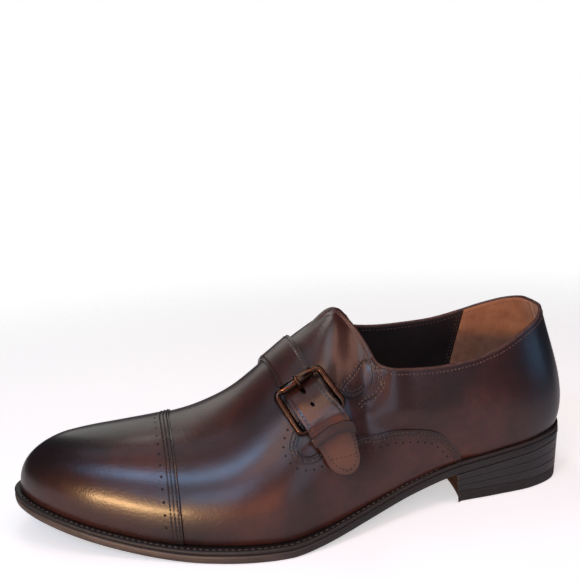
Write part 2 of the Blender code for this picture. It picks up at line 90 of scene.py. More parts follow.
# Height of the outsole's underside: station, height.
undersideRows = np.array([
    (0.0, 25.5), (66.0, 17.5), (75.0, 16.4), (100.0, 12.3), (120.0, 8.6), (140.0, 4.4),
    (155.0, 1.5), (168.0, 0.0), (189.0, 0.0), (210.0, 0.0), (228.0, 1.0), (250.0, 4.0),
    (275.0, 9.3), (305.0, 16.3),
])

# How far the foot of the upper stands in from the sole's edge: station, outer, inner.
featherRows = np.array([
    (0.0, 1.6, 1.6), (60.0, 1.8, 1.8), (110.0, 2.6, 2.2), (150.0, 4.4, 3.6),
    (190.0, 5.2, 4.4), (260.0, 5.0, 4.6), (305.0, 4.4, 4.4),
])

# Cross sections of the last: along, top station, outer side and height, inner side and
# height, rise and bulge (outer, inner) of the lower wall, drop, bulge and lead of the upper.
sectionRows = np.array([
    (0.0000, 10.3, 0.0, 97.8, 0.0, 97.8, 18, 9.0, 9.0, -26, 6.5, 0),
    (0.0350, 11.3, -10.0, 96.7, 10.0, 98.2, 18, 8.0, 8.0, -25, 5.5, 0),
    (0.0750, 17.5, -18.5, 92.6, 18.5, 96.7, 18, 7.0, 7.0, -22, 4.0, 0),
    (0.1250, 29.8, -25.0, 87.3, 25.0, 93.2, 18, 5.5, 5.5, -20, 3.0, 0),
    (0.1750, 44.0, -28.8, 81.3, 28.5, 89.1, 18, 5.0, 5.5, -18, 2.5, 0),
    (0.2250, 60.0, -30.8, 77.0, 30.5, 85.7, 18, 4.5, 7.0, -18, 2.5, 0),
    (0.2750, 78.0, -31.8, 75.3, 31.6, 84.5, 18, 3.5, 10.0, -18, 3.0, 0),
    (0.3250, 97.0, -32.3, 76.0, 31.8, 84.6, 20, 2.0, 11.0, -18, 4.0, 0),
    (0.3600, 109.5, -32.3, 78.0, 30.0, 86.5, 24, 1.0, 10.0, -16, 4.0, 2),
    (0.3850, 115.0, -27.5, 81.0, 25.0, 89.3, 28, 1.0, 9.0, -13, 4.5, 6),
    (0.4050, 116.5, -19.0, 87.3, 17.5, 93.2, 32, 1.0, 7.0, -11, 7.0, 9),
    (0.4350, 120.0, -8.5, 96.8, 9.0, 99.0, 38, 1.0, 5.0, -6.5, 12.5, 7),
    (0.4615, 126.5, 1.0, 104.8, 1.0, 104.8, 44, 1.5, 4.0, -0.5, 20.5, 4),
    (0.5130, 146.0, 1.5, 94.0, 1.5, 94.0, 42, 2.5, 4.0, 0, 22.0, 1.5),
    (0.5650, 166.0, 2.0, 79.6, 2.0, 79.6, 36, 3.0, 4.0, 0, 24.0, 0),
    (0.6250, 186.0, 3.0, 65.0, 3.0, 65.0, 30, 3.0, 3.5, 0, 27.0, 0),
    (0.6800, 204.0, 4.0, 57.2, 4.0, 57.2, 26, 3.0, 3.0, 0, 29.0, 0),
    (0.7400, 222.0, 5.0, 53.4, 5.0, 53.4, 24, 2.5, 2.5, 0, 28.0, 0),
    (0.8000, 240.0, 6.5, 51.6, 6.5, 51.6, 23, 2.0, 2.0, 0, 25.0, 0),
    (0.8700, 256.0, 8.5, 50.3, 8.5, 50.3, 21, 1.5, 1.5, 0, 21.0, 0),
    (0.9350, 265.0, 10.0, 49.5, 10.0, 49.5, 18, 1.2, 1.2, 0, 18.5, 0),
    (1.0000, 270.0, 12.0, 48.9, 12.0, 48.9, 16, 1.0, 1.0, 0, 18.0, 0),
])
tonguePeak = 0.4615
lastShape = {
    "ring": 416, "fineSteps": 2400, "knotPower": 0.75, "ridgeFrom": 12,
    "toeFrom": 225.0, "toeOver": 45.0, "collarOver": 30.0, "slopeStep": 0.004,
}

# The strap's two edges on the last. across runs from -1 at the outer foot, through 0 on the
# ridge, to 1 at the inner foot: reach, toe edge (along, across), heel edge, lift.
strapRows = np.array([
    (-44.0, 0.560, 0.700, 0.507, 0.690, 0.55), (-28.0, 0.566, 0.450, 0.518, 0.440, 0.55),
    (-13.0, 0.569, 0.220, 0.525, 0.210, 0.55), (0.0, 0.570, 0.000, 0.528, 0.000, 0.55),
    (10.0, 0.563, -0.170, 0.521, -0.190, 0.55), (18.0, 0.554, -0.300, 0.509, -0.330, 0.55),
    (24.0, 0.546, -0.385, 0.500, -0.410, 0.7), (29.0, 0.538, -0.448, 0.491, -0.470, 2.6),
    (35.0, 0.527, -0.525, 0.480, -0.537, 4.8), (42.0, 0.513, -0.615, 0.462, -0.615, 6.35),
    (49.0, 0.500, -0.685, 0.448, -0.672, 5.1), (57.0, 0.486, -0.755, 0.434, -0.735, 2.7),
    (65.0, 0.475, -0.825, 0.424, -0.800, 0.9), (73.0, 0.464, -0.890, 0.414, -0.860, 0.5),
])


def spline(at, table):
    # smooth interpolation of a table's columns against its first column
    keys, values = table[:, 0], table[:, 1:]
    slopes = np.gradient(values, keys, axis=0)
    at = np.asarray(at, float)[..., None]
    i = np.clip(np.searchsorted(keys, at[..., 0]) - 1, 0, len(keys) - 2)
    span = (keys[i + 1] - keys[i])[..., None]
    t = (at - keys[i][..., None]) / span
    start = (1 - t) ** 2 * ((1 + 2 * t) * values[i] + t * span * slopes[i])
    return start + t**2 * ((3 - 2 * t) * values[i + 1] - (1 - t) * span * slopes[i + 1])


def unit(vectors):
    return vectors / np.linalg.norm(vectors, axis=-1, keepdims=True)


def wayAlong(path):
    # length covered at each point of a path
    return np.concatenate([[0.0], np.cumsum(np.linalg.norm(np.diff(path, axis=0), axis=1))])


def easeIn(x):
    x = np.clip(x, 0, 1)
    return x * x * (3 - 2 * x)


def place(points):
    points = np.asarray(points, float).reshape(-1, 3)
    x = shoe["heelBackX"] - points[:, 0] * mm
    return np.column_stack([x, points[:, 1] * mm + shoe["middleY"], points[:, 2] * mm])


def outline(count):
    # edge of the sole as (station, side): heel, outer side, toe tip, inner side
    loop = np.vstack([outlineRows[:, :2], outlineRows[-2:0:-1, [0, 2]]])
    wrapped = np.vstack([loop[-3:], loop, loop[:4]])
    steps = np.linalg.norm(np.diff(wrapped, axis=0), axis=1) ** lastShape["knotPower"]
    keys = np.concatenate([[0.0], np.cumsum(steps)])
    table = np.column_stack([keys, wrapped])
    tip = keys[3 + len(outlineRows) - 1]
    halves = []
    for low, high in ((keys[3], tip), (tip, keys[3 + len(loop)])):
        fine = spline(np.linspace(low, high, lastShape["fineSteps"]), table)
        length = wayAlong(fine)
        at = np.linspace(0, length[-1], count // 2 + 1)[:-1]
        halves.append(np.column_stack([np.interp(at, length, fine[:, k]) for k in (0, 1)]))
    return np.vstack(halves)


def outwards(ring):
    step = np.roll(ring, -1, axis=0) - np.roll(ring, 1, axis=0)
    return unit(np.column_stack([step[:, 1], -step[:, 0]]))


def underside(station):
    return np.maximum(spline(station, undersideRows)[..., 0], 0.0)


def featherInset(ring):
    outer, inner = (np.interp(ring[:, 0], featherRows[:, 0], featherRows[:, k]) for k in (1, 2))
    return np.where(np.arange(len(ring)) <= len(ring) // 2, outer, inner)


def soleRing(count, inset, height):
    ring = outline(count)
    ring = ring - outwards(ring) * np.broadcast_to(inset, len(ring))[:, None]
    return np.column_stack([ring, underside(ring[:, 0]) + height])


def lastSections():
    # the four control points of each section, for the outer half and the inner half
    ring = outline(lastShape["ring"])
    count, half = len(ring), len(ring) // 2
    out = outwards(ring)
    foot = ring - out * featherInset(ring)[:, None]
    foot = np.column_stack([foot, underside(foot[:, 0]) + shoe["feather"]])
    ridge = sectionRows[lastShape["ridgeFrom"]:, [1, 3]]
    halves = []
    for side in (-1, 1):
        i = np.arange(half + 1) if side < 0 else (count - np.arange(half + 1)) % count
        shape = spline(np.linspace(0, 1, half + 1), sectionRows).T
        station, rise, drop, bulge, lead = shape[0], shape[5], shape[8], shape[9], shape[10]
        across, height = (shape[1], shape[2]) if side < 0 else (shape[3], shape[4])
        low = shape[6] if side < 0 else shape[7]
        ahead = np.clip((station - lastShape["toeFrom"]) / lastShape["toeOver"], 0, 1)
        collar = np.clip((ridge[0, 0] - station) / lastShape["collarOver"], 0, 1)
        turned = np.maximum(ahead, collar)[:, None]
        over = unit(out[i] * turned + np.array([0.0, side]) * (1 - turned))
        slope = np.interp(station, ridge[:, 0], np.gradient(ridge[:, 1], ridge[:, 0]))
        drop = drop + np.where(collar > 0, 0.0, slope * over[:, 0] * bulge)
        top = np.column_stack([station, across, height])
        lower = foot[i] + np.column_stack([out[i] * low[:, None], rise])
        upper = top + np.column_stack([over * bulge[:, None], drop])
        upper[:, 0] += lead
        halves.append(np.stack([foot[i], lower, upper, top], axis=1))
    return np.stack(halves)


last = lastSections()


def onLast(along, across):
    along, across = np.broadcast_arrays(np.asarray(along, float), np.asarray(across, float))
    at = np.clip(along, 0, 1) * (last.shape[1] - 1)
    i = np.minimum(at.astype(int), last.shape[1] - 2)
    t = (at - i)[..., None, None]
    side = (across > 0).astype(int)
    control = last[side, i] * (1 - t) + last[side, i + 1] * t
    w = (1 - np.abs(across))[..., None]
    first, second, third, fourth = (control[..., k, :] for k in range(4))
    low = (1 - w) ** 3 * first + 3 * w * (1 - w) ** 2 * second
    return low + 3 * w**2 * (1 - w) * third + w**3 * fourth


def lastSlopes(along, across):
    # how the last's surface moves with along and with across, kept to one side of the ridge
    step = lastShape["slopeStep"]
    side = np.where(across > 0, 1.0, -1.0)
    part = np.abs(across)
    inner = np.maximum(part - step, 1e-6)
    dAlong = (onLast(along + step, across) - onLast(along - step, across)) / (2 * step)
    dAcross = onLast(along, side * (part + step)) - onLast(along, side * inner)
    return dAlong, dAcross * (side / (part + step - inner))[..., None]


def normalOnLast(along, across):
    return unit(np.cross(*lastSlopes(along, across)))


def offLast(along, across, lift):
    along, across, lift = np.broadcast_arrays(
        np.asarray(along, float), np.asarray(across, float), np.asarray(lift, float)
    )
    return onLast(along, across) + normalOnLast(along, across) * lift[..., None]


def strapOnLast(reach, v, lift=0.0):
    reach, v, lift = np.broadcast_arrays(
        np.asarray(reach, float), np.asarray(v, float), np.asarray(lift, float)
    )
    row = spline(reach, strapRows)
    part = (v + 1) / 2
    along = row[..., 0] * (1 - part) + row[..., 2] * part
    across = row[..., 1] * (1 - part) + row[..., 3] * part
    return offLast(along, across, row[..., 4] + lift)


def buckleFrame():
    topLift = shoe["strap"] + shoe["gap"] + shoe["topBarLift"]
    top = strapOnLast(shoe["topBarReach"], 0, topLift)
    hinge = strapOnLast(shoe["hingeReach"], 0, shoe["hingeLift"])
    bar = unit(strapOnLast(shoe["barReach"], 1) - strapOnLast(shoe["barReach"], -1))
    rise = unit(top - hinge)
    bar = unit(bar - rise * bar.dot(rise))
    normal = np.cross(bar, rise)
    if normal[1] > 0:
        normal = -normal
    half = np.linalg.norm(top - hinge) / 2
    return {"centre": (top + hinge) / 2, "half": half, "bar": bar, "rise": rise, "normal": normal}


buckle = buckleFrame()


flatReach = (22.0, 34.0, 45.0, 56.0)  # the strap lies flat across between the middle two


def onStrap(reach, v, lift=0.0):
    # the strap is pulled flat across where it runs through the buckle
    raw = strapOnLast(reach, v, lift)
    flat = np.interp(reach, flatReach, (0.0, 1.0, 1.0, 0.0))
    offset = (strapOnLast(reach, 0.0, lift) - raw) @ buckle["normal"]
    return raw + (flat * offset)[..., None] * buckle["normal"]


def inBuckle(bar, rise, normal=0.0):
    bar, rise, normal = np.broadcast_arrays(bar, rise, normal)
    spot = buckle["centre"] + bar[..., None] * buckle["bar"] + rise[..., None] * buckle["rise"]
    return spot + normal[..., None] * buckle["normal"]


print("last and strap shapes ready")


# Mesh helpers.
meshLook = {"weld": 2e-6, "sheetWeld": 6e-5, "snap": 0.08, "farthest": 40.0, "bevelFrom": 50.0}


def addGrid(bm, columns, rows, surface, uvStep=(1.0, 1.0)):
    # a grid whose point (u, v), counted in cells, goes to surface(u, v)
    made = bmesh.ops.create_grid(bm, x_segments=columns, y_segments=rows, size=0.5)["verts"]
    at = (np.array([vert.co[:2] for vert in made]) + 0.5) * (columns, rows)
    cells = dict(zip(made, at))
    uv = bm.loops.layers.uv.verify()
    for face in {face for vert in made for face in vert.link_faces}:
        for loop in face.loops:
            u, v = cells[loop.vert]
            loop[uv].uv = (u * uvStep[0], v * uvStep[1])
    for vert, point in zip(made, place(surface(at[:, 0], at[:, 1]))):
        vert.co = point
    return made


def weld(bm, distance=meshLook["weld"]):
    bmesh.ops.remove_doubles(bm, verts=bm.verts, dist=distance)


def closeShell(bm, fill=False):
    weld(bm)
    if fill:
        ends = [edge for edge in bm.edges if edge.is_boundary]
        bmesh.ops.holes_fill(bm, edges=ends, sides=0)
    bmesh.ops.recalc_face_normals(bm, faces=bm.faces)


def faceOut(bm, middle=(0.0, 0.0, 0.04)):
    # turns an open sheet's faces away from the middle of the shoe
    middle = Vector(middle)
    outer = sum(face.normal.dot(face.calc_center_median() - middle) > 0 for face in bm.faces)
    if outer * 2 < len(bm.faces):
        bmesh.ops.reverse_faces(bm, faces=bm.faces)


def cutAway(bm, keep):
    # cuts a flat sheet of (u, v) points where keep(u, v) is zero, and drops what is below
    bm.verts.index_update()
    at = np.array([vert.co[:2] for vert in bm.verts])
    value = np.array(keep(at[:, 0], at[:, 1]), float)
    value[np.abs(value) < meshLook["snap"]] = 0.0
    worth = dict(zip(bm.verts, value))
    seam = [vert for vert, here in worth.items() if here == 0]
    for edge in list(bm.edges):
        a, b = edge.verts
        if worth[a] * worth[b] < 0:
            new = bmesh.utils.edge_split(edge, a, worth[a] / (worth[a] - worth[b]))[1]
            worth[new] = 0.0
            seam.append(new)
    bmesh.ops.connect_verts(bm, verts=seam)
    spare = [face for face in bm.faces if sum(worth[vert] for vert in face.verts) < 0]
    bmesh.ops.delete(bm, geom=spare, context="FACES")
    return bm


def flatSheet(columns, rows, low, high):
    bm = bmesh.new()
    bmesh.ops.create_grid(bm, x_segments=columns, y_segments=rows, size=0.5)
    for vert in bm.verts:
        vert.co.x = low[0] + (vert.co.x + 0.5) * (high[0] - low[0])
        vert.co.y = low[1] + (vert.co.y + 0.5) * (high[1] - low[1])
    return bm


def shapeSheet(bm, surface, **ways):
    # moves a cut sheet's (u, v) points to their places, and notes each one's way to an edge
    # and to the middle of a pair of stitch rows, which the leather's material reads
    at = np.array([vert.co[:2] for vert in bm.verts])
    for name, way in ways.items():
        layer = bm.verts.layers.float.new(name)
        most = meshLook["farthest"]
        for vert, away in zip(bm.verts, np.clip(way(at[:, 0], at[:, 1]), -most, most)):
            vert[layer] = float(away)
    for vert, point in zip(bm.verts, place(surface(at[:, 0], at[:, 1]))):
        vert.co = point
    weld(bm, meshLook["sheetWeld"])


def addTube(bm, path, facing, radii, sides=12, closed=False):
    path = np.asarray(path, float)
    count = len(path)
    if closed:
        tangent = unit(np.roll(path, -1, axis=0) - np.roll(path, 1, axis=0))
    else:
        tangent = unit(np.gradient(path, axis=0))
    across = unit(np.cross(tangent, facing))
    other = np.cross(tangent, across)
    radii = np.broadcast_to(radii, count)

    def surface(u, v):
        i = np.rint(u).astype(int) % count
        angle = 2 * np.pi * np.rint(v) / sides
        circle = across[i] * np.cos(angle)[:, None] + other[i] * np.sin(angle)[:, None]
        return path[i] + circle * radii[i][:, None]

    addGrid(bm, count if closed else count - 1, sides, surface, (0.002, 0.001))
    closeShell(bm, fill=not closed)


def finishPiece(name, bm, material, slot, nodes=(), wall=0.0, outward=False, bevel=0.0):
    mesh = bpy.data.meshes.new(name)
    bm.to_mesh(mesh)
    bm.free()
    for polygon in mesh.polygons:
        polygon.use_smooth = True
    for each in material if isinstance(material, (list, tuple)) else [material]:
        mesh.materials.append(each)
    piece = bpy.data.objects.new(name, mesh)
    bpy.context.scene.collection.objects.link(piece)
    if wall:
        shell = piece.modifiers.new("wall", "SOLIDIFY")
        shell.thickness = wall * mm
        shell.offset = 1 if outward else -1
        shell.use_even_offset = True
    if bevel:
        soften = piece.modifiers.new("edges", "BEVEL")
        soften.width = bevel * mm
        soften.segments = 2
        soften.limit_method = "ANGLE"
        soften.angle_limit = math.radians(meshLook["bevelFrom"])
    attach(piece, "root")
    if nodes:
        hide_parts(*nodes)
    return piece


# Material helpers.
def addNode(tree, kind, inputs=None, **settings):
    node = tree.nodes.new("ShaderNode" + kind)
    for key, value in settings.items():
        setattr(node, key, value)
    for key, value in (inputs or {}).items():
        if isinstance(value, bpy.types.NodeSocket):
            tree.links.new(value, node.inputs[key])
        else:
            node.inputs[key].default_value = value
    return node


def newMaterial(name, roughness, metallic=0.0, coat=0.0, coatRoughness=0.1, sheen=0.0):
    material = bpy.data.materials.new(name)
    material.use_nodes = True
    shader = material.node_tree.nodes["Principled BSDF"]
    shader.inputs["Roughness"].default_value = roughness
    shader.inputs["Metallic"].default_value = metallic
    shader.inputs["Coat Weight"].default_value = coat
    shader.inputs["Coat Roughness"].default_value = coatRoughness
    shader.inputs["Sheen Weight"].default_value = sheen
    return material, shader, material.node_tree


def ramp(tree, factor, stops):
    node = addNode(tree, "ValToRGB", {"Fac": factor})
    elements = node.color_ramp.elements
    while len(elements) < len(stops):
        elements.new(0.5)
    for element, (position, colour) in zip(elements, stops):
        element.position = position
        element.color = (*colour, 1.0)
    return node.outputs["Color"]


def mix(tree, factor, a, b):
    node = addNode(tree, "Mix", data_type="RGBA")
    for index, value in ((0, factor), (6, a), (7, b)):
        if isinstance(value, bpy.types.NodeSocket):
            tree.links.new(value, node.inputs[index])
        else:
            node.inputs[index].default_value = value if index == 0 else (*value, 1.0)
    return node.outputs[2]


def between(tree, value, low, high, start=0.0, end=1.0):
    node = addNode(tree, "MapRange", {
        "Value": value, "From Min": low, "From Max": high, "To Min": start, "To Max": end,
    }, interpolation_type="SMOOTHSTEP")
    return node.outputs["Result"]


def calc(tree, operation, a, b=0.0):
    return addNode(tree, "Math", {0: a, 1: b}, operation=operation).outputs[0]


def objectSpot(tree):
    return addNode(tree, "TexCoord").outputs["Object"]


def attribute(tree, name):
    return addNode(tree, "Attribute", attribute_name=name).outputs["Fac"]


def noise(tree, where, scale, detail, roughness=0.5, distortion=0.0):
    return addNode(tree, "TexNoise", {
        "Vector": where, "Scale": scale, "Detail": detail, "Roughness": roughness,
        "Distortion": distortion,
    }).outputs["Fac"]


def bump(tree, shader, height, strength, distance):
    node = addNode(tree, "Bump", {"Height": height, "Strength": strength, "Distance": distance})
    tree.links.new(node.outputs["Normal"], shader.inputs["Normal"])


leather = {
    "deep": (0.014, 0.005, 0.0046), "mid": (0.036, 0.0112, 0.0088),
    "warm": (0.076, 0.0255, 0.0165), "tint": (1.0, 1.0, 1.0), "worn": None,
    # the next line's first colour is the burnish of the toe, also used as edge paint and as the
    # painted shade in the furrows of the stitching and on the keeper's rims; its second colour is
    # the burnish at the back of the heel, tinted blue as a painted cool reflection
    "burnishAndShade": (0.006, 0.0058, 0.0068), "heelBurnishAndSheen": (0.005, 0.01, 0.016),
    "toeFrom": 0.148, "toeTo": 0.2, "toeSlope": 1.5, "toeShare": 0.88,
    "heelFrom": 0.098, "heelTo": 0.146, "heelShare": 0.92,
    "cloudScale": 19.0, "streakScale": 160.0, "streakShare": 0.45,
    "edgeWidth": 5.0, "edgeShade": 0.5, "rows": (0.95,), "rowWidth": 0.5, "rowShade": 0.6,
    "roughness": 0.32, "coat": 0.3, "coatRoughness": 0.2,
    "grainScale": 1000.0, "poreScale": 420.0, "poreShare": 0.8, "grainHeight": 0.26,
    "bump": 0.0002,
}


def polishedLeather(name, **changes):
    look = {**leather, **changes}
    gloss = look["roughness"]
    material, shader, tree = newMaterial(name, gloss, coat=look["coat"],
                                         coatRoughness=look["coatRoughness"])
    where = objectSpot(tree)
    spot = addNode(tree, "SeparateXYZ", {"Vector": where}).outputs
    cloud = noise(tree, where, look["cloudScale"], 4.0, 0.55, 0.4)
    tones = [tuple(np.multiply(look[tone], look["tint"])) for tone in ("deep", "mid", "warm")]
    colour = ramp(tree, cloud, list(zip((0.32, 0.5, 0.72), tones)))
    streaks = noise(tree, where, look["streakScale"], 6.0, 0.7)
    streaks = between(tree, streaks, 0.35, 0.75, 0.0, look["streakShare"])
    colour = mix(tree, streaks, colour, look["deep"])
    if look["worn"]:
        colour = mix(tree, attribute(tree, "worn"), colour, look["worn"])
    # burnishing at the toe, more on top of its tip, and at the back of the heel, whose blue tint
    # is a painted cool reflection
    toe = calc(tree, "SUBTRACT", calc(tree, "MULTIPLY", spot["Z"], look["toeSlope"]), spot["X"])
    toe = between(tree, toe, look["toeFrom"], look["toeTo"], 0.0, look["toeShare"])
    colour = mix(tree, toe, colour, look["burnishAndShade"])
    heel = between(tree, spot["X"], look["heelFrom"], look["heelTo"], 0.0, look["heelShare"])
    colour = mix(tree, heel, colour, look["heelBurnishAndSheen"])
    # darker leather along the cut edges as edge paint (on the keeper also a painted shade), and a
    # painted shade in the furrows of the stitching, which the bump also presses in
    edge = calc(tree, "ABSOLUTE", attribute(tree, "edge"))
    edge = between(tree, edge, 0.0, look["edgeWidth"], look["edgeShade"], 0.0)
    colour = mix(tree, edge, colour, look["burnishAndShade"])
    row = calc(tree, "ABSOLUTE", attribute(tree, "row"))
    furrowAndShade = 0.0
    for at in look["rows"]:
        away = calc(tree, "ABSOLUTE", calc(tree, "SUBTRACT", row, at))
        near = between(tree, away, 0.0, look["rowWidth"], 1.0, 0.0)
        furrowAndShade = calc(tree, "MAXIMUM", furrowAndShade, near)
    # painted shade: the furrows of the stitching are darkened in colour
    colour = mix(tree, calc(tree, "MULTIPLY", furrowAndShade, look["rowShade"]), colour,
                 look["burnishAndShade"])
    tree.links.new(colour, shader.inputs["Base Color"])
    tree.links.new(between(tree, cloud, 0.25, 0.8, gloss + 0.05, gloss - 0.05),
                   shader.inputs["Roughness"])
    grain = addNode(tree, "TexVoronoi", {
        "Vector": where, "Scale": look["grainScale"], "Randomness": 1.0,
    }, feature="SMOOTH_F1").outputs["Distance"]
    pores = calc(tree, "MULTIPLY", noise(tree, where, look["poreScale"], 5.0), look["poreShare"])
    height = calc(tree, "MULTIPLY", calc(tree, "ADD", grain, pores), look["grainHeight"])
    bump(tree, shader, calc(tree, "SUBTRACT", height, furrowAndShade), 1.0, look["bump"])
    return material


def plainLeather(name, dark, light, scale, roughness, sheen=0.0, nap=900.0, depth=0.0002):
    # unpolished or lightly finished leather: clouded colour and a fine nap
    material, shader, tree = newMaterial(name, roughness, coatRoughness=0.25, sheen=sheen)
    where = objectSpot(tree)
    colour = ramp(tree, noise(tree, where, scale, 6.0, 0.65), [(0.3, dark), (0.7, light)])
    tree.links.new(colour, shader.inputs["Base Color"])
    bump(tree, shader, noise(tree, where, nap, 6.0), 0.35, depth)
    return material


def layeredLeather(name, dark, light, lineScale, roughness, blackFrom=None):
    # the cut edge of stacked leather: fine lines that run lengthwise along the edge
    material, shader, tree = newMaterial(name, roughness, coat=0.12, coatRoughness=0.3)
    strip = addNode(tree, "TexCoord").outputs["UV"]
    stretched = addNode(tree, "Mapping", {"Vector": strip, "Scale": (14.0, lineScale, 1.0)})
    lines = noise(tree, stretched.outputs["Vector"], 1.0, 5.0, 0.7)
    where = objectSpot(tree)
    cloud = calc(tree, "MULTIPLY", noise(tree, where, 45.0, 5.0), 0.35)
    tone = calc(tree, "ADD", calc(tree, "MULTIPLY", lines, 0.65), cloud)
    colour = ramp(tree, tone, [(0.36, dark), (0.66, light)])
    if blackFrom:
        # blacked towards the heel, and less on the bottom than on the edge
        x = addNode(tree, "SeparateXYZ", {"Vector": where}).outputs["X"]
        normal = addNode(tree, "NewGeometry").outputs["Normal"]
        facing = addNode(tree, "SeparateXYZ", {"Vector": normal}).outputs["Z"]
        black = calc(tree, "MULTIPLY", between(tree, x, *blackFrom),
                     between(tree, facing, -0.95, -0.6))
        colour = mix(tree, calc(tree, "MULTIPLY", black, 0.93), colour, (0.006, 0.0065, 0.007))
    tree.links.new(colour, shader.inputs["Base Color"])
    bump(tree, shader, lines, 0.5, 0.0002)
    return material


def agedBronze(name, dark, light, worn):
    material, shader, tree = newMaterial(name, 0.3, metallic=1.0)
    where = objectSpot(tree)
    colour = ramp(tree, noise(tree, where, 240.0, 5.0), [(0.3, dark), (0.7, light)])
    ridge = addNode(tree, "NewGeometry").outputs["Pointiness"]
    colour = mix(tree, between(tree, ridge, 0.52, 0.66), colour, worn)
    tree.links.new(colour, shader.inputs["Base Color"])
    scratch = noise(tree, where, 900.0, 3.0)
    tree.links.new(between(tree, scratch, 0.3, 0.7, 0.17, 0.27), shader.inputs["Roughness"])
    bump(tree, shader, scratch, 0.05, 0.00005)
    return material


def twistedThread(name, dark, light):
    material, shader, tree = newMaterial(name, 0.55, sheen=0.2)
    twist = noise(tree, objectSpot(tree), 1600.0, 2.0)
    colour = ramp(tree, twist, [(0.35, dark), (0.65, light)])
    tree.links.new(colour, shader.inputs["Base Color"])
    bump(tree, shader, twist, 0.4, 0.0001)
    return material


upperLeather = polishedLeather("burnishedLeather")
capLeather = polishedLeather("capLeather", rows=(0.0, 1.8))
strapLeather = polishedLeather("strapLeather", cloudScale=34.0, roughness=0.34, rows=(),
                               tint=(1.15, 1.02, 0.8), edgeShade=0.35,
                               worn=(0.15, 0.064, 0.037))
# the keeper's rims are darkened more than on the other pieces: edge paint together with a painted
# shade along its rims
keeperLeather = polishedLeather("keeperLeather", cloudScale=60.0, roughness=0.36, rows=(),
                                tint=(0.85, 0.8, 0.75), edgeShade=0.7)
edgeLeather = plainLeather("foldedEdge", (0.03, 0.012, 0.01), (0.09, 0.04, 0.032), 300.0, 0.5)
blackLining = plainLeather("blackLining", (0.0045, 0.004, 0.0045), (0.013, 0.009, 0.009),
                           90.0, 0.6)
tanSuede = plainLeather("tanSuede", (0.27, 0.115, 0.058), (0.42, 0.195, 0.1), 140.0, 0.9,
                        sheen=0.35, nap=1600.0, depth=0.0004)
sockLeather = plainLeather("sockLeather", (0.05, 0.022, 0.013), (0.1, 0.048, 0.028), 70.0, 0.55)
soleLeather = layeredLeather("soleEdgeLeather", (0.018, 0.014, 0.0125), (0.108, 0.081, 0.064),
                             1500.0, 0.5, blackFrom=(-0.05, 0.02))
weltLeather = plainLeather("weltLeather", (0.004, 0.0035, 0.0035), (0.016, 0.012, 0.011),
                           260.0, 0.5)
heelLeather = layeredLeather("stackedHeelLeather", (0.006, 0.0068, 0.008),
                             (0.021, 0.023, 0.026), 900.0, 0.42)
breastLeather = layeredLeather("heelBreastLeather", (0.03, 0.014, 0.008),
                               (0.13, 0.065, 0.035), 700.0, 0.6)
heelRubber = plainLeather("heelRubber", (0.008, 0.0075, 0.0075), (0.016, 0.015, 0.015),
                          200.0, 0.65)
bronze = agedBronze("agedBronze", (0.04, 0.022, 0.015), (0.085, 0.045, 0.03), (0.4, 0.2, 0.12))
rollerBronze = agedBronze("darkBronze", (0.018, 0.011, 0.009), (0.045, 0.025, 0.018),
                          (0.2, 0.1, 0.065))
darkThread = twistedThread("darkThread", (0.003, 0.002, 0.002), (0.012, 0.007, 0.006))
brownThread = twistedThread("brownThread", (0.045, 0.022, 0.016), (0.17, 0.09, 0.065))
duskThread = twistedThread("duskThread", (0.014, 0.008, 0.006), (0.06, 0.032, 0.024))
weltThread = twistedThread("weltThread", (0.03, 0.025, 0.02), (0.085, 0.07, 0.058))
# near black: a painted shade for the inside of the punched holes
holeShade = plainLeather("paintedHoleShade", (0.002, 0.0015, 0.0015), (0.006, 0.004, 0.004),
                         400.0, 0.8)
print("materials ready")


# The seams of the upper.
capEdge = {"station": 218.6, "lean": 2.2, "underlap": 8.0, "rise": 0.8}
# Outer edge of the vamp round the cut-out that takes the quarter, along and across: from the
# foot over the arch, round the lobe in front and up to the top of the flap.
cutOut = {
    "arch": [(0.25, -1.04), (0.27, -0.79), (0.30, -0.60), (0.35, -0.545), (0.40, -0.63),
             (0.45, -0.705)],
    "lobeMiddle": (0.487, -0.643), "lobeLength": 0.04, "lobeHeight": 0.078,
    "front": [(0.435, -0.51), (0.405, -0.39), (0.385, -0.12), (0.393, -0.001)],
    "behind": [(0.393, 0.06), (-0.1, 0.06), (-0.1, -1.1), (0.25, -1.1)],
    "points": 3000,
}
lastSpan = (350.0, 78.0)  # rough length and height of the last's surface
lobeTurn = np.radians(np.linspace(-90, 90, 7))
lobeRows = np.array(cutOut["lobeMiddle"]) + np.column_stack([
    cutOut["lobeLength"] * np.cos(lobeTurn), cutOut["lobeHeight"] * np.sin(lobeTurn)
])
cutOutRows = np.vstack([cutOut["arch"], lobeRows, cutOut["front"]])


def smoothLine(rows, count):
    rows = np.array(rows, float)
    keys = wayAlong(rows * lastSpan)
    return spline(np.linspace(0, keys[-1], count), np.column_stack([keys, rows]))


def lineTrees(line):
    # the line's points on the outer side and on the inner side, for finding the nearest
    trees = []
    for side in (1, -1):
        tree = KDTree(len(line))
        for i, point in enumerate(onLast(line[:, 0], side * line[:, 1])):
            tree.insert(point, i)
        tree.balance()
        trees.append(tree)
    return trees


def nearest(trees, u, v):
    # the number of the nearest point of a line and the way to it
    points = onLast(*toSurface(u, v))
    found = [trees[0 if each < 0 else 1].find(point) for each, point in zip(u, points)]
    return np.array([number for _, number, _ in found]), np.array([way for _, _, way in found])


def insideLoop(loop, x, y):
    odd = np.zeros(len(x), bool)
    for (x0, y0), (x1, y1) in zip(loop, np.roll(loop, -1, axis=0)):
        if y0 != y1:
            crosses = (y0 > y) != (y1 > y)
            odd ^= crosses & (x < x0 + (y - y0) / (y1 - y0) * (x1 - x0))
    return odd


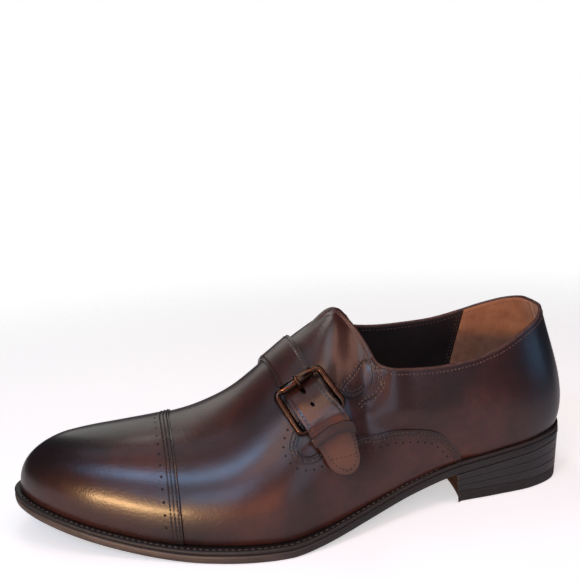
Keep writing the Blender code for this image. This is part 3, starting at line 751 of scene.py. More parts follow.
def toSurface(u, v):
    # a sheet of the upper runs from u = -1 at the heel, past the outer side, the toe at 0 and
    # the inner side, to 1 at the heel again, and rises from v = 0 at the foot to 1 at the top
    side = np.where(u < 0, -1.0, 1.0)
    return 1 - np.abs(u), side * np.maximum(1 - v, 1e-6)


cutOutLine = smoothLine(cutOutRows, cutOut["points"])
cutOutTrees = lineTrees(cutOutLine)
cutOutLoop = np.vstack([cutOutLine[::10], cutOutLine[-1:], cutOut["behind"]])


def pastCutOut(u, v):
    # way from the cut-out's edge, above zero on the vamp and below zero on the quarter
    along, across = toSurface(u, v)
    away = nearest(cutOutTrees, u, v)[1]
    return np.where(insideLoop(cutOutLoop, along, -np.abs(across)), -away, away)


def pastCap(u, v):
    stations = onLast(*toSurface(u, v))[:, 0]
    return stations - capEdge["station"] - capEdge["lean"] * np.asarray(v) ** 2


# Middle lines of the double rows on the flap and on the front of the quarter.
flapMiddle = [(0.46, -0.54), (0.45, -0.485), (0.432, -0.375), (0.408, -0.20), (0.39, -0.035)]
frontMiddle = [(0.381, -0.02), (0.375, -0.10), (0.37, -0.17), (0.376, -0.25), (0.392, -0.375),
               (0.412, -0.48), (0.42, -0.52)]
rowLook = {"fromEdge": 2.35, "spread": 0.95, "capFromEdge": 2.9, "lowerSeam": 0.86}


def awayFrom(rows):
    # way over the surface from a middle line, on the outer and the inner side
    trees = lineTrees(smoothLine(rows, 500))
    return lambda u, v: nearest(trees, u, v)[1]


awayFromFlapRows = awayFrom(flapMiddle)
awayFromFrontRows = awayFrom(frontMiddle)


def awayFromVampRows(u, v):
    number, away = nearest(cutOutTrees, u, v)
    onLowerSeam = number < rowLook["lowerSeam"] * len(cutOutLine)
    lower = np.where(onLowerSeam, np.abs(away - rowLook["fromEdge"]), meshLook["farthest"])
    return np.minimum(lower, awayFromFlapRows(u, v))


# Soft dents and swells of the worn upper: along, across, length, width, turn, lift.
softForms = [
    (0.600, -0.300, 34.0, 9.0, 20.0, -0.18), (0.575, 0.350, 30.0, 9.0, -20.0, -0.18),
]
for side in (-1, 1):
    softForms += [
        (0.408, side * 0.28, 15.0, 9.0, 90.0, 1.4), (0.408, side * 0.28, 16.0, 6.0, 90.0, 1.0),
        (0.466, side * 0.27, 20.0, 9.0, 90.0, -1.9),
    ]
formReach = 25.0  # a form fades out on the part of the upper that faces it


def softLift(along, across):
    points = onLast(along, across)
    lift = np.zeros(len(points))
    for a, c, length, width, turn, depth in softForms:
        centre = onLast(a, c)
        dAlong, dAcross = (unit(d) for d in lastSlopes(np.array(a), np.array(c)))
        angle = math.radians(turn)
        axis = unit(dAlong * math.cos(angle) + dAcross * math.sin(angle))
        normal = normalOnLast(np.array(a), np.array(c))
        beside = np.cross(normal, axis)
        offset = points - centre
        x, y = offset @ axis / length, offset @ beside / width
        near = np.exp(-((offset @ normal) / formReach) ** 2)
        lift += depth * np.exp(-(x**2) - y**2) * near
    return lift


def formLift(along, across):
    # the soft forms, fading out at the foot and at the collar
    return softLift(along, across) * easeIn((1 - np.abs(2 * np.abs(across) - 1)) * 6)


def vampLift(u, v):
    return formLift(*toSurface(u, v))


def addPanel(name, look, cuts, liftAt, material, slot="burnished_leather", **ways):
    # a panel of the upper: a sheet cut along its seams, laid on the last and thickened
    bm = flatSheet(look["columns"], look["rows"], (-1, 0), (1, 1))
    for keep in cuts:
        cutAway(bm, keep)
    shapeSheet(bm, lambda u, v: offLast(*toSurface(u, v), liftAt(u, v)), **ways)
    faceOut(bm)
    finishPiece(name, bm, material, slot, ["upper"], wall=look["thickness"],
                bevel=look["bevel"])


vamp = {"columns": 520, "rows": 72, "thickness": 0.8, "bevel": 0.3}


def addVamp():
    addPanel("vamp", vamp, [pastCutOut, lambda u, v: capEdge["underlap"] - pastCap(u, v)],
             vampLift, upperLeather, edge=pastCutOut, row=awayFromVampRows)


quarter = {"columns": 520, "rows": 72, "thickness": 0.55, "bevel": 0.2, "sunk": 0.9,
           "outer": 0.15, "rampFrom": 1.5, "rampOver": 9.0, "underlap": 8.0, "edgeAway": 30.0}


def quarterLift(u, v):
    inward = -pastCutOut(u, v)
    ramped = easeIn((inward - quarter["rampFrom"]) / quarter["rampOver"])
    return vampLift(u, v) + (quarter["sunk"] - quarter["outer"]) * ramped - quarter["sunk"]


def addQuarters():
    addPanel("quarters", quarter, [lambda u, v: quarter["underlap"] - pastCutOut(u, v)],
             quarterLift, upperLeather, edge=lambda u, v: quarter["edgeAway"] + 0 * u,
             row=awayFromFrontRows)


toeCap = {"columns": 520, "rows": 72, "thickness": 0.75, "bevel": 0.25}


def addToeCap():
    addPanel("toeCap", toeCap, [pastCap], lambda u, v: capEdge["rise"], capLeather,
             edge=pastCap, row=lambda u, v: pastCap(u, v) - rowLook["capFromEdge"])


lining = {"columns": 300, "rows": 48, "thickness": 0.45, "bevel": 0.0, "depth": -1.5,
          "heelDepth": -0.12, "seamStation": 41.0, "seamLean": -10.0, "leanFrom": 88.0,
          "leanOver": 50.0, "toeEnd": 214.0}


def aheadOfLiningSeam(points):
    lean = lining["seamLean"] * (points[:, 2] - lining["leanFrom"]) / lining["leanOver"]
    return points[:, 0] - lining["seamStation"] - lean


def addLining():
    for name, side, depth, material in (
        ("frontLining", 1, 0.0, blackLining), ("heelLining", -1, lining["heelDepth"], tanSuede),
    ):
        addPanel(name, lining,
                 [lambda u, v: side * aheadOfLiningSeam(onLast(*toSurface(u, v))),
                  lambda u, v: lining["toeEnd"] - onLast(*toSurface(u, v))[:, 0]],
                 lambda u, v: lining["depth"] + np.minimum(vampLift(u, v), 0) + depth,
                 material, slot="insole_leather")


# Rolled edge of the collar.
collarEdge = {"radius": 1.0, "depth": -1.02, "step": 1.6, "sides": 10}


def resample(path, step, normals):
    length = wayAlong(path)
    count = max(int(round(length[-1] / step)), 2)
    at = np.linspace(0, length[-1], count + 1)
    return [np.column_stack([np.interp(at, length, column) for column in table.T])
            for table in (path, normals)]


def addCollarEdge():
    half = np.linspace(tonguePeak, 0, 160)
    along = np.concatenate([half, half[::-1][1:]])
    across = np.where(np.arange(len(along)) < 160, -1e-6, 1e-6)
    path = offLast(along, across, collarEdge["depth"])
    path, normal = resample(path, collarEdge["step"], normalOnLast(along, across))
    bm = bmesh.new()
    addTube(bm, path[:-1], unit(normal[:-1]), collarEdge["radius"], collarEdge["sides"],
            closed=True)
    finishPiece("collarEdge", bm, edgeLeather, "burnished_leather", ["upper"])


print("upper panels")
addVamp()
addQuarters()
addToeCap()
addLining()
addCollarEdge()


# Stitches and punched holes.
def stitchTemplate(length, radius):
    bm = bmesh.new()
    bmesh.ops.create_uvsphere(bm, u_segments=6, v_segments=6, radius=radius * mm)
    bmesh.ops.scale(bm, vec=(1.0, 1.0, 0.75), verts=bm.verts)
    turned = Matrix.Rotation(math.pi / 2, 3, "Y")
    bmesh.ops.rotate(bm, cent=(0, 0, 0), matrix=turned, verts=bm.verts)
    for vert in bm.verts:
        vert.co.x *= length / (2 * radius)
    mesh = bpy.data.meshes.new("template")
    bm.to_mesh(mesh)
    bm.free()
    return mesh


# Inset, as a share of the radius, and depth of each step from a hole's rim to its bottom.
punch = {"rim": 1.45, "steps": ((0.25, 0.07), (0.2, -0.05), (0.2, -0.03))}


def holeTemplate(radius):
    # a small cup with a raised rim, whose near-black colour is a painted shade for the inside of
    # a punched hole
    bm = bmesh.new()
    bmesh.ops.create_circle(bm, cap_ends=True, segments=10, radius=radius * punch["rim"] * mm)
    for share, depth in punch["steps"]:
        bmesh.ops.inset_individual(
            bm, faces=[max(bm.faces, key=lambda face: len(face.verts))],
            thickness=radius * share * mm, depth=depth * mm, use_even_offset=True,
        )
    mesh = bpy.data.meshes.new("template")
    bm.to_mesh(mesh)
    bm.free()
    return mesh


fineStep = 0.2  # rows are followed in steps of this length


def alongRows(rows, pitch):
    # placings at even steps along rows of (points, normals), in metres
    for points, normals in rows:
        points, normals = resample(points, fineStep * mm, normals)
        length = len(points) - 1
        count = int(length / (pitch / fineStep))
        for k in range(count):
            i = int((k + 0.5) * length / count)
            a, b = max(i - 3, 0), min(i + 3, length)
            tangent = Vector(points[b] - points[a]).normalized()
            sideways = Vector(normals[i]).normalized().cross(tangent).normalized()
            upwards = tangent.cross(sideways)
            placing = Matrix((tangent, sideways, upwards)).transposed().to_4x4()
            placing.translation = Vector(points[i])
            yield placing


def addRepeats(name, template, rows, pitch, material, slot="burnished_leather"):
    bm = bmesh.new()
    for placing in alongRows(rows, pitch):
        copy = template.copy()
        copy.transform(placing)
        bm.from_mesh(copy)
        bpy.data.meshes.remove(copy)
    bpy.data.meshes.remove(template)
    return finishPiece(name, bm, material, slot)


def upperRow(line, lift):
    # (along, across) line as points and normals in metres
    line = np.asarray(line, float)
    along, across = line[:, 0], line[:, 1]
    points = place(offLast(along, across, lift + formLift(along, across)))
    normals = normalOnLast(along, across) * (-1, 1, 1)
    return points, normals


def beside(line, offset):
    # moves an (along, across) line sideways over the surface by offset millimetres
    line = np.asarray(line, float)
    points = onLast(line[:, 0], line[:, 1])
    tangent = unit(np.gradient(points, axis=0))
    sideways = np.cross(normalOnLast(line[:, 0], line[:, 1]), tangent) * offset
    dAlong, dAcross = lastSlopes(line[:, 0], line[:, 1])
    aa, cc, ac = (dAlong**2).sum(1), (dAcross**2).sum(1), (dAlong * dAcross).sum(1)
    sa, sc = (sideways * dAlong).sum(1), (sideways * dAcross).sum(1)
    det = aa * cc - ac**2
    move = np.column_stack([(sa * cc - sc * ac) / det, (sc * aa - sa * ac) / det])
    return line + move


def mirrored(line):
    return np.asarray(line) * (1, -1)


def acrossTheToe(ahead):
    # an (along, across) line from foot to foot at a set distance ahead of the cap's edge
    lines = []
    for side in (-1, 1):
        along = np.linspace(0.55, 0.95, 260)
        row = []
        for rise in np.linspace(0.0, 1, 60):
            across = side * max(1 - rise, 1e-6)
            stations = onLast(along, np.full(260, across))[:, 0]
            target = capEdge["station"] + capEdge["lean"] * rise**2 + ahead
            row.append((np.interp(target, stations, along), across))
        lines.append(row if side < 0 else row[::-1])
    return np.array(lines[0] + lines[1][1:])


def bothSides(line, lift):
    return [upperRow(line, lift), upperRow(mirrored(line), lift)]


# Where the rows of stitches and holes run: distances from their edges, lifts and stretches.
rowPlaces = {
    "cap": (1.1, 2.9, 4.7), "capLift": 0.08, "vamp": (1.4, 3.3), "vampLift": 0.08,
    "frontLift": -0.5, "capHoles": 7.4, "seamHoles": 6.4, "holeLift": 0.02, "holesFrom": 0.06,
    "collarDown": 2.3, "collarLift": -0.06, "collarSpan": (0.006, 0.372),
    "flapTopLift": 0.08, "flapTopSpan": (0.398, 0.4595), "liningSpan": (0.03, 0.345),
}
coarse = cutOutLine[::12]  # every twelfth point is enough for a row of stitches
lowerSeam = coarse[:int(rowLook["lowerSeam"] * len(coarse))]
# which way the vamp lies from the cut-out's line: checked once, so that rows go the right way
probe = beside(coarse, 2.0)[60]
vampWay = 1 if not insideLoop(cutOutLoop, probe[:1], probe[1:])[0] else -1

capLift = capEdge["rise"] + rowPlaces["capLift"]
capRows = [upperRow(acrossTheToe(ahead), capLift) for ahead in rowPlaces["cap"]]
vampRows = [upperRow(line, rowPlaces["vampLift"]) for line in (
    *(beside(lowerSeam, vampWay * away) for away in rowPlaces["vamp"]),
    *(mirrored(beside(lowerSeam, vampWay * away)) for away in rowPlaces["vamp"]),
)]
flapStitches, frontStitches = [], []
for away in (-rowLook["spread"], rowLook["spread"]):
    flapStitches += bothSides(beside(smoothLine(flapMiddle, 60), away), rowPlaces["vampLift"])
    frontStitches += bothSides(beside(smoothLine(frontMiddle, 60), away), rowPlaces["frontLift"])


def collarRow(side, span, lift):
    # a row just below the top edge: steps down each section by that length
    steps = np.linspace(0, 0.12, 40)
    line = []
    for along in np.linspace(*span, 260):
        wall = onLast(np.full(40, along), side * np.maximum(steps, 1e-6))
        down = np.interp(rowPlaces["collarDown"], wayAlong(wall), steps)
        line.append((along, side * down))
    return upperRow(line, lift)


# Thread inside the shoe: below the top edge, and in front of the seam of the lining.
liningThread = {"lift": -2.02, "ahead": (1.3, 2.9), "low": 0.05, "high": 0.75}


def liningSeamRow(side, ahead):
    # goes down the lining at a set distance in front of its seam
    row = []
    along = np.linspace(0.15, 0.5, 260)
    for across in np.linspace(liningThread["low"], liningThread["high"], 60):
        points = onLast(along, np.full(260, side * across))
        row.append((np.interp(ahead, aheadOfLiningSeam(points), along), side * across))
    return upperRow(row, liningThread["lift"])


collarRows, liningRows = [], []
for side in (-1, 1):
    collarRows.append(collarRow(side, rowPlaces["collarSpan"], rowPlaces["collarLift"]))
    collarRows.append(collarRow(side, rowPlaces["flapTopSpan"], rowPlaces["flapTopLift"]))
    liningRows.append(collarRow(side, rowPlaces["liningSpan"], liningThread["lift"]))
    liningRows += [liningSeamRow(side, ahead) for ahead in liningThread["ahead"]]

print("stitches")
# name, length and radius of a stitch, rows, pitch, thread, slot
for name, length, radius, rows, pitch, thread, slot in (
    ("capStitches", 1.5, 0.27, capRows, 2.0, darkThread, "burnished_leather"),
    ("vampStitches", 1.8, 0.4, vampRows, 2.1, duskThread, "burnished_leather"),
    ("flapStitches", 1.8, 0.42, flapStitches, 2.1, brownThread, "burnished_leather"),
    ("quarterStitches", 1.8, 0.42, frontStitches, 2.1, brownThread, "burnished_leather"),
    ("collarStitches", 1.6, 0.32, collarRows, 2.1, brownThread, "burnished_leather"),
    ("liningStitches", 1.6, 0.25, liningRows, 2.2, brownThread, "insole_leather"),
):
    addRepeats(name, stitchTemplate(length, radius), rows, pitch, thread, slot)

capHoleLine = acrossTheToe(rowPlaces["capHoles"])[4:-4]
capHoleRows = [upperRow(capHoleLine, capEdge["rise"] + rowPlaces["holeLift"])]
seamHoleLine = beside(lowerSeam[int(rowPlaces["holesFrom"] * len(coarse)):],
                      vampWay * rowPlaces["seamHoles"])
seamHoleRows = bothSides(seamHoleLine, rowPlaces["holeLift"])
addRepeats("capHoles", holeTemplate(0.5), capHoleRows, 6.0, holeShade)
addRepeats("seamHoles", holeTemplate(0.42), seamHoleRows, 4.2, holeShade)


# Back seam of the heel.
backSeam = {"low": 0.01, "high": 0.985, "sunk": 0.22, "radius": 0.42}


def addBackSeam():
    rise = np.linspace(backSeam["low"], backSeam["high"], 60)
    path = offLast(np.zeros(60), -(1 - rise), -backSeam["sunk"])
    bm = bmesh.new()
    addTube(bm, path, np.array([0.0, 1.0, 0.0]), backSeam["radius"], 8)
    finishPiece("backSeam", bm, upperLeather, "burnished_leather")


addBackSeam()


# Sole, welt and insole.
sole = {
    "count": 420, "crossRows": 24, "ringUv": (0.0017, 0.0006), "acrossUv": (0.0017, 0.004),
    "stitchInset": 2.1, "stitchLift": 0.02, "stitchFrom": 84.0, "weltUnder": 0.3,
    "sockInset": 0.7, "sockCrown": 0.5,
}
# Inset and height of each ring round the outsole's edge, from the bottom up.
outsoleProfile = [(1.3, 0.0), (0.55, 0.12), (0.15, 0.55), (0.0, 1.2), (0.0, 2.9), (0.18, 3.5),
                  (0.6, 4.0)]


def addWall(bm, loops, closed=False):
    count, rows = len(loops[0]), len(loops) - (0 if closed else 1)
    loops = np.array(loops)

    def surface(u, v):
        return loops[np.rint(v).astype(int) % len(loops), np.rint(u).astype(int) % count]

    return addGrid(bm, count, rows, surface, sole["ringUv"])


def addAcross(bm, loop, crown=0.0):
    # fills a ring from its outer side to its inner side, with an optional crown
    count, half, rows = len(loop), len(loop) // 2, sole["crossRows"]

    def surface(u, v):
        i, share = np.rint(u).astype(int), (v / rows)[:, None]
        spot = loop[i] * (1 - share) + loop[(count - i) % count] * share
        spot[:, 2] += crown * 4 * (share * (1 - share))[:, 0]
        return spot

    return addGrid(bm, half, rows, surface, sole["acrossUv"])


def addPlate(name, profile, material, slot, node, crown=0.0):
    bm = bmesh.new()
    loops = [soleRing(sole["count"], inset, height) for inset, height in profile]
    addWall(bm, loops)
    addAcross(bm, loops[0])
    addAcross(bm, loops[-1], crown)
    closeShell(bm)
    return finishPiece(name, bm, material, slot, [node])


def addWelt():
    low = shoe["outsole"] + shoe["gap"]
    inner = featherInset(outline(sole["count"])) + shoe["wall"] + sole["weltUnder"]
    profile = [(0.9, low), (0.35, low + 0.2), (0.12, low + 0.8), (0.15, low + 1.3),
               (0.45, low + 1.85), (0.9, low + 2.0), (inner, low + 2.0), (inner, low)]
    bm = bmesh.new()
    rings = [soleRing(sole["count"], inset, height) for inset, height in profile]
    addWall(bm, rings, closed=True)
    closeShell(bm)
    finishPiece("weltStrip", bm, weltLeather, "welt_leather", ["welt"])


def weltRow():
    height = shoe["outsole"] + shoe["gap"] + shoe["welt"] + sole["stitchLift"]
    ring = soleRing(1200, sole["stitchInset"], height)
    kept = np.flatnonzero(ring[:, 0] > sole["stitchFrom"])
    path = ring[kept[0]:kept[-1] + 1]
    return place(path), np.tile((0.0, 0.0, 1.0), (len(path), 1))


print("sole")
addPlate("outsoleLeather", outsoleProfile, soleLeather, "sole_leather", "outsole")
addWelt()
addRepeats("weltStitches", stitchTemplate(2.3, 0.3), [weltRow()], 3.1, weltThread, "welt_leather")
sockInset = featherInset(outline(sole["count"])) + shoe["wall"] + sole["sockInset"]
sockLow = shoe["outsole"] + shoe["gap"]
sockProfile = [(sockInset, sockLow), (sockInset, sockLow + 1.5),
               (sockInset + 0.3, sockLow + 1.9)]
addPlate("sockLining", sockProfile, sockLeather, "insole_leather", "insole",
         crown=sole["sockCrown"])


# Heel.
heel = {"plies": 3, "groove": 0.05, "plyRows": (0.0, 0.07, 0.93, 1.0), "taperShare": 0.75,
        "inset": 0.3, "breastFacing": -0.75}


def heelRing(inset):
    rows = outline(lastShape["ring"])
    half = len(rows) // 2
    outer, inner = rows[: half + 1], np.vstack([rows[:1], rows[:half - 1:-1]])
    stations = shoe["heelLength"] * (1 - np.cos(np.linspace(0, np.pi / 2, 34)))
    outerSide = np.interp(stations, outer[:, 0], outer[:, 1])
    innerSide = np.interp(stations, inner[:, 0], inner[:, 1])
    breast = np.linspace(outerSide[-1], innerSide[-1], 21)[1:-1]
    middle = (outerSide[-1] + innerSide[-1]) / 2
    width = (innerSide[-1] - outerSide[-1]) / 2
    hollow = shoe["heelLength"] - shoe["breastHollow"] * (1 - ((breast - middle) / width) ** 2)
    ring = np.vstack([
        np.column_stack([stations, outerSide]),
        np.column_stack([hollow, breast]),
        np.column_stack([stations, innerSide])[:0:-1],
    ])
    return ring - outwards(ring) * inset


def addHeelSlab(name, levels, material, slot, node):
    loops = []
    for taper, level in levels:
        ring = heelRing(heel["inset"] + taper)
        loops.append(np.column_stack([ring, level(ring[:, 0])]))
    bm = bmesh.new()
    addWall(bm, loops)
    closeShell(bm, fill=True)
    for face in bm.faces:
        onBreast = face.normal.x < heel["breastFacing"] and len(face.verts) == 4
        face.material_index = int(onBreast)
    return finishPiece(name, bm, [material, breastLeather], slot, [node])


def seatLevel(share, lift=0.0):
    def level(station):
        top = underside(station) - shoe["gap"]
        return shoe["topPiece"] + share * (top - shoe["topPiece"]) + lift
    return level


def flat(height):
    return lambda station: 0 * station + height


def addHeel():
    plies, taper, top = heel["plies"], shoe["heelTaper"], shoe["topPiece"]
    for k in range(shoe["lifts"]):
        low, high = k / shoe["lifts"], (k + 1) / shoe["lifts"]
        levels = []
        for ply in range(plies):
            for share in heel["plyRows"]:
                if share == 1.0 and ply < plies - 1:
                    continue
                at = low + (high - low) * (ply + share) / plies
                groove = heel["groove"] if share in (0.0, 1.0) else 0.0
                lift = shoe["gap"] * (1 - (ply + share) / plies)
                inset = taper * heel["taperShare"] * (1 - at) + groove
                levels.append((inset, seatLevel(at, lift)))
        addHeelSlab(f"heelLift{k + 1}", levels, heelLeather, "stacked_heel", f"heel_lift_{k + 1}")
    levels = [(taper + 0.8, flat(0.0)), (taper + 0.2, flat(0.25)), (taper, flat(0.8)),
              (taper * 0.8, flat(top - 0.3)), (taper * heel["taperShare"] + 0.2, flat(top))]
    addHeelSlab("topPiece", levels, heelRubber, "heel_rubber", "top_piece")


addHeel()
print("heel")

# Strap, keeper and buckle.
strapLook = {
    "halfWidth": 10.5, "columns": 230, "rows": 44, "puff": 0.28, "seamIn": 1.9, "gapBelow": 0.3,
    "tipLength": 16.0, "tipBack": 9.5, "tipFlat": 0.985, "tipPower": 1.3,
    "edgeFrom": 1.3, "edgeOver": 1.8, "bevel": 0.35, "stitchDip": 0.3,
    "holeReach": 35.4, "holeRadius": 1.05, "slotReach": 27.8, "slotHalf": 1.0, "slotRadius": 1.35,
    # reach, lean and depth of each crease across the strap
    "creases": [(39.5, 2.0, 0.1), (41.6, -1.5, 0.08), (44.0, 1.0, 0.12), (56.0, -2.0, 0.1)],
    "creaseWidth": 0.75, "wornFrom": 48.0, "wornOver": 10.0, "wornShare": 0.8,
    "seamFrom": -42.0, "crossSeam": 59.2, "seamTip": 7.5,
}


def roundTip(reach, v):
    # how far the strap's end is drawn back towards its edges, for a round tip
    tip = strapLook["tipLength"]
    share = np.clip((reach - (shoe["strapEnd"] - tip)) / tip, 0, 1)
    back = 1 - np.sqrt(np.maximum(1 - strapLook["tipFlat"] * v**2, 0))
    return strapLook["tipBack"] * back * share**strapLook["tipPower"]


def addStrap():
    look, end = strapLook, shoe["strapEnd"]
    half = look["halfWidth"]
    bm = flatSheet(look["columns"], look["rows"], (shoe["strapStart"], -1), (end, 1))

    def holes(u, v):
        y = v * half
        hole = np.hypot(u - look["holeReach"], y) - look["holeRadius"]
        x = np.maximum(np.abs(u - look["slotReach"]) - look["slotHalf"], 0)
        return np.minimum(hole, np.hypot(x, y) - look["slotRadius"])

    cutAway(bm, holes)

    def surface(u, v):
        away = np.minimum((1 - np.abs(v)) * half, (end - u) * 0.9)
        puff = look["puff"] * (easeIn((away - look["edgeFrom"]) / look["edgeOver"]) - 1)
        creases = 0
        for at, lean, depth in look["creases"]:
            bent = (u - at - lean * v) / look["creaseWidth"]
            creases = creases + depth * np.exp(-(bent**2))
        lift = shoe["strap"] + puff - creases * easeIn(away / 4)
        return onStrap(u - roundTip(u, v), v, lift)

    shapeSheet(
        bm, surface, edge=lambda u, v: np.minimum((1 - np.abs(v)) * half, end - u),
        worn=lambda u, v: easeIn((u - look["wornFrom"]) / look["wornOver"]) * look["wornShare"],
    )
    faceOut(bm)
    finishPiece("instepStrap", bm, strapLeather, "strap_leather", ["strap"],
                wall=shoe["strap"] - look["gapBelow"], bevel=look["bevel"])


def strapRow(reach, v):
    reach, v = np.broadcast_arrays(np.asarray(reach, float), np.asarray(v, float))
    at = reach - roundTip(reach, v)
    lift = shoe["strap"] - strapLook["puff"] * strapLook["stitchDip"]
    points, above = place(onStrap(at, v, lift)), place(onStrap(at, v, lift + 0.5))
    return points, (above - points) / mm


def addStrapStitches():
    start, tip = strapLook["seamFrom"], strapLook["seamTip"]
    edge = 1 - strapLook["seamIn"] / strapLook["halfWidth"]
    end = shoe["strapEnd"] - strapLook["seamIn"] - tip
    angle = np.linspace(0, np.pi, 40)
    reach = np.concatenate([np.linspace(start, end, 90), end + tip * np.sin(angle),
                            np.linspace(end, start, 90)])
    v = np.concatenate([np.full(90, -edge), -edge * np.cos(angle), np.full(90, edge)])
    rows = [strapRow(reach, v)]
    for across in (strapLook["crossSeam"], start):
        rows.append(strapRow(np.full(40, across), np.linspace(-edge, edge, 40)))
    addRepeats("strapStitches", stitchTemplate(1.6, 0.3), rows, 2.3, darkThread, "strap_leather")


keeperLook = {"count": 56, "rows": 10, "low": -0.6, "over": 0.35, "halfWidth": 1.05,
              "corner": 0.28, "crown": 0.12, "bevel": 0.2}


def addKeeper():
    look = keeperLook
    low, high = look["low"], shoe["strap"] + look["over"]

    def surface(u, v):
        angle = 2 * np.pi * np.rint(u) / look["count"]
        c, s = np.cos(angle), np.sin(angle)
        x = look["halfWidth"] * np.sign(c) * np.abs(c) ** look["corner"]
        lift = (low + high) / 2 + (high - low) / 2 * np.sign(s) * np.abs(s) ** look["corner"]
        share = v / look["rows"] - 0.5
        reach = shoe["keeperReach"] + share * shoe["keeperWidth"]
        return onStrap(reach, x, lift + look["crown"] * (1 - (2 * share) ** 2))

    bm = flatSheet(look["count"], look["rows"], (0, 0), (look["count"], look["rows"]))
    # the way to the keeper's rims, along which its leather takes edge paint and a painted shade
    shapeSheet(bm, surface, edge=lambda u, v: 1.2 * np.minimum(v, look["rows"] - v))
    faceOut(bm, Vector(place(onStrap(shoe["keeperReach"], 0.0, 0.9))[0]))
    finishPiece("keeperLoop", bm, keeperLeather, "strap_leather", ["keeper_loop"],
                wall=shoe["keeperWall"], outward=True, bevel=look["bevel"])


# rise, normal and radius of the prong past its curl round the hinge bar
prongRows = [(-8.5, -0.8, 0.6), (-4.0, -1.3, 0.65), (0.5, -1.7, 0.7), (4.0, -1.9, 0.8),
             (6.5, -0.8, 0.9), (8.2, 1.2, 0.95), (9.8, 3.0, 1.0), (11.8, 3.65, 1.0),
             (14.0, 3.4, 0.9)]


def addBuckle():
    half, corner = buckle["half"], shoe["frameCorner"]
    turn = np.radians(np.linspace(0, 90, 9))
    loop, radii = [], []
    for quarterTurn, (a, b) in enumerate(((1, 1), (-1, 1), (-1, -1), (1, -1))):
        angle = turn + quarterTurn * np.pi / 2
        x = a * (shoe["frameHalf"] - corner) + corner * np.cos(angle)
        y = b * (half - corner) + corner * np.sin(angle)
        loop += list(inBuckle(x, y))
        radii += list(np.interp(y, (-half, -half + 1.6), (shoe["hinge"], shoe["wire"])))
    bm = bmesh.new()
    addTube(bm, loop, buckle["normal"], np.array(radii), 20, closed=True)
    finishPiece("buckleWire", bm, bronze, "antique_bronze", ["buckle_frame"])

    length, radius, bore = shoe["rollerLength"] / 2, shoe["roller"], shoe["wire"] + 0.1
    profile = [(-length, bore), (-length, radius - 0.25), (-length + 0.25, radius),
               (length - 0.25, radius), (length, radius - 0.25), (length, bore)]
    sides = 28

    def surface(u, v):
        x, r = np.array(profile)[np.rint(v).astype(int) % len(profile)].T
        angle = 2 * np.pi * np.rint(u) / sides
        return inBuckle(x, half + r * np.cos(angle), r * np.sin(angle))

    bm = bmesh.new()
    addGrid(bm, sides, len(profile), surface, (0.001, 0.001))
    closeShell(bm)
    finishPiece("buckleRoller", bm, rollerBronze, "antique_bronze", ["buckle_roller"], bevel=0.08)

    curl = shoe["hinge"] + 0.9
    path = np.array([(-half - curl * np.sin(a), -curl * np.cos(a), 0.6)
                     for a in np.radians(np.linspace(200, 0, 9))] + prongRows)
    steps = wayAlong(path[:, :2])
    fine = spline(np.linspace(0, steps[-1], 70), np.column_stack([steps, path]))
    fine[-3:, 2] *= (0.93, 0.75, 0.4)
    bm = bmesh.new()
    addTube(bm, inBuckle(np.zeros(70), fine[:, 0], fine[:, 1]), buckle["bar"], fine[:, 2], 14)
    finishPiece("bucklePin", bm, bronze, "antique_bronze", ["buckle_prong"])


addStrap()
addStrapStitches()
addKeeper()
addBuckle()
tab = frame["nodes"]["buckle_tab"]
tab.data.materials.clear()
tab.data.materials.append(strapLeather)
print("strap and buckle")


# Studio.
studio = {
    "floor": (0.79, 0.82, 0.83), "floorGlow": 0.5, "backdrop": (1.0, 1.0, 1.0),
    "room": (0.015, 0.02, 0.03), "floorSize": 4.0, "fadeFrom": 0.3, "fadeTo": 0.8,
    "lampDistance": 1.1, "aimHeight": 0.045,
    "view": {"azimuth": -10.5, "elevation": 10.77, "roll": -3.39, "distance": 0.36,
             "lens": 42.1, "target": (0.00014, 0.00712, 0.117)},
}
tints = {
    "amber": (1.0, 0.6, 0.28), "orange": (1.0, 0.5, 0.2), "copper": (1.0, 0.37, 0.22),
    "peach": (1.0, 0.55, 0.42), "sky": (0.3, 0.6, 1.0), "pale": (0.6, 0.78, 1.0),
    "daylight": (0.8, 0.88, 1.0), "white": (1.0, 1.0, 0.95),
}
# name, azimuth, elevation, width, height, tint, strength
lamps = [
    ("goldStrip", -49, 4, 0.24, 0.085, "amber", 85.0),
    ("warmFront", -33, 4, 0.34, 0.34, "copper", 2.0),
    ("warmSide", -10, 4, 0.48, 0.34, "copper", 2.2),
    ("rightSide", 16, 9, 0.36, 0.40, "pale", 1.8),
    ("lowWindow", -35, 22, 0.34, 0.26, "sky", 5.0),
    ("coolWindow", -48, 44, 0.20, 0.19, "sky", 11.5),
    ("coolCorner", -60, 42, 0.34, 0.34, "sky", 2.0),
    ("frontWindow", -25, 42, 0.34, 0.34, "peach", 3.0),
    ("sideWindow", -5, 36, 0.36, 0.36, "pale", 2.7),
    ("heelStrip", 66, 12, 0.26, 0.40, "sky", 2.0),
    ("heelWindow", 55, 42, 0.36, 0.36, "peach", 3.0),
    ("heelOverhead", 60, 64, 0.40, 0.40, "peach", 3.0),
    ("frontOverhead", -34, 60, 0.34, 0.34, "orange", 4.0),
    ("toeOverhead", -100, 62, 0.36, 0.36, "pale", 0.8),
    ("overhead", 4, 78, 0.40, 0.50, "daylight", 2.4),
    ("backWindow", -163, 32, 0.40, 0.72, "white", 1.0),
    ("backOverhead", -163, 66, 0.40, 0.36, "white", 3.0),
]


def towards(azimuth, elevation):
    a, e = math.radians(azimuth), math.radians(elevation)
    return Vector((math.sin(a) * math.cos(e), -math.cos(a) * math.cos(e), math.sin(e)))


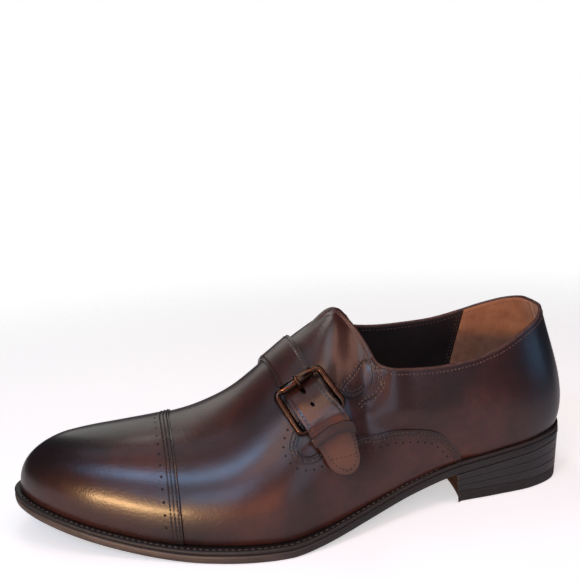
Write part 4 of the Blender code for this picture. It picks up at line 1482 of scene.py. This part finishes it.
def addStudio():
    bm = bmesh.new()
    bmesh.ops.create_grid(bm, x_segments=4, y_segments=4, size=studio["floorSize"])
    mesh = bpy.data.meshes.new("floor")
    bm.to_mesh(mesh)
    bm.free()
    material, shader, tree = newMaterial("paleFloor", 0.8)
    shader.inputs["Base Color"].default_value = (*studio["floor"], 1.0)
    shader.inputs["Emission Color"].default_value = (1.0, 1.0, 1.0, 1.0)
    # the floor is shown brighter than it lights the shoe, and fades into the backdrop
    seen = addNode(tree, "LightPath").outputs["Is Camera Ray"]
    tree.links.new(calc(tree, "MULTIPLY", seen, studio["floorGlow"]),
                   shader.inputs["Emission Strength"])
    where = objectSpot(tree)
    far = addNode(tree, "VectorMath", {0: where}, operation="LENGTH").outputs["Value"]
    tree.links.new(between(tree, far, studio["fadeFrom"], studio["fadeTo"], 1.0, 0.0),
                   shader.inputs["Alpha"])
    mesh.materials.append(material)
    floor = bpy.data.objects.new("floor", mesh)
    bpy.context.scene.collection.objects.link(floor)

    for name, azimuth, elevation, width, height, tint, strength in lamps:
        data = bpy.data.lights.new(name, "AREA")
        data.shape, data.size, data.size_y = "RECTANGLE", width, height
        data.color = tints[tint]
        data.energy = strength * math.pi * width * height
        lamp = bpy.data.objects.new(name, data)
        direction = towards(azimuth, elevation)
        aim = Vector((0, 0, studio["aimHeight"]))
        lamp.location = aim + direction * studio["lampDistance"]
        lamp.rotation_euler = direction.to_track_quat("Z", "Y").to_euler()
        lamp.visible_camera = False
        bpy.context.scene.collection.objects.link(lamp)

    world = bpy.data.worlds.new("studio")
    bpy.context.scene.world = world
    world.use_nodes = True
    tree = world.node_tree
    seen = addNode(tree, "LightPath").outputs["Is Camera Ray"]
    colour = mix(tree, seen, studio["room"], studio["backdrop"])
    tree.links.new(colour, tree.nodes["Background"].inputs["Color"])


def addCamera():
    view = studio["view"]
    data = bpy.data.cameras.new("camera")
    data.lens, data.sensor_width, data.clip_start = view["lens"], 36.0, 0.01
    camera = bpy.data.objects.new("camera", data)
    bpy.context.scene.collection.objects.link(camera)
    back = towards(view["azimuth"], view["elevation"])
    right = (-back).cross(Vector((0, 0, 1))).normalized()
    up = right.cross(-back)
    turn = math.radians(view["roll"])
    rolledRight = math.cos(turn) * right + math.sin(turn) * up
    rolledUp = -math.sin(turn) * right + math.cos(turn) * up
    matrix = Matrix((rolledRight, rolledUp, back)).transposed().to_4x4()
    matrix.translation = Vector(view["target"]) + back * view["distance"]
    camera.matrix_world = matrix
    bpy.context.scene.camera = camera
    bpy.context.scene.view_settings.view_transform = "Standard"


addStudio()
addCamera()
print("studio ready")
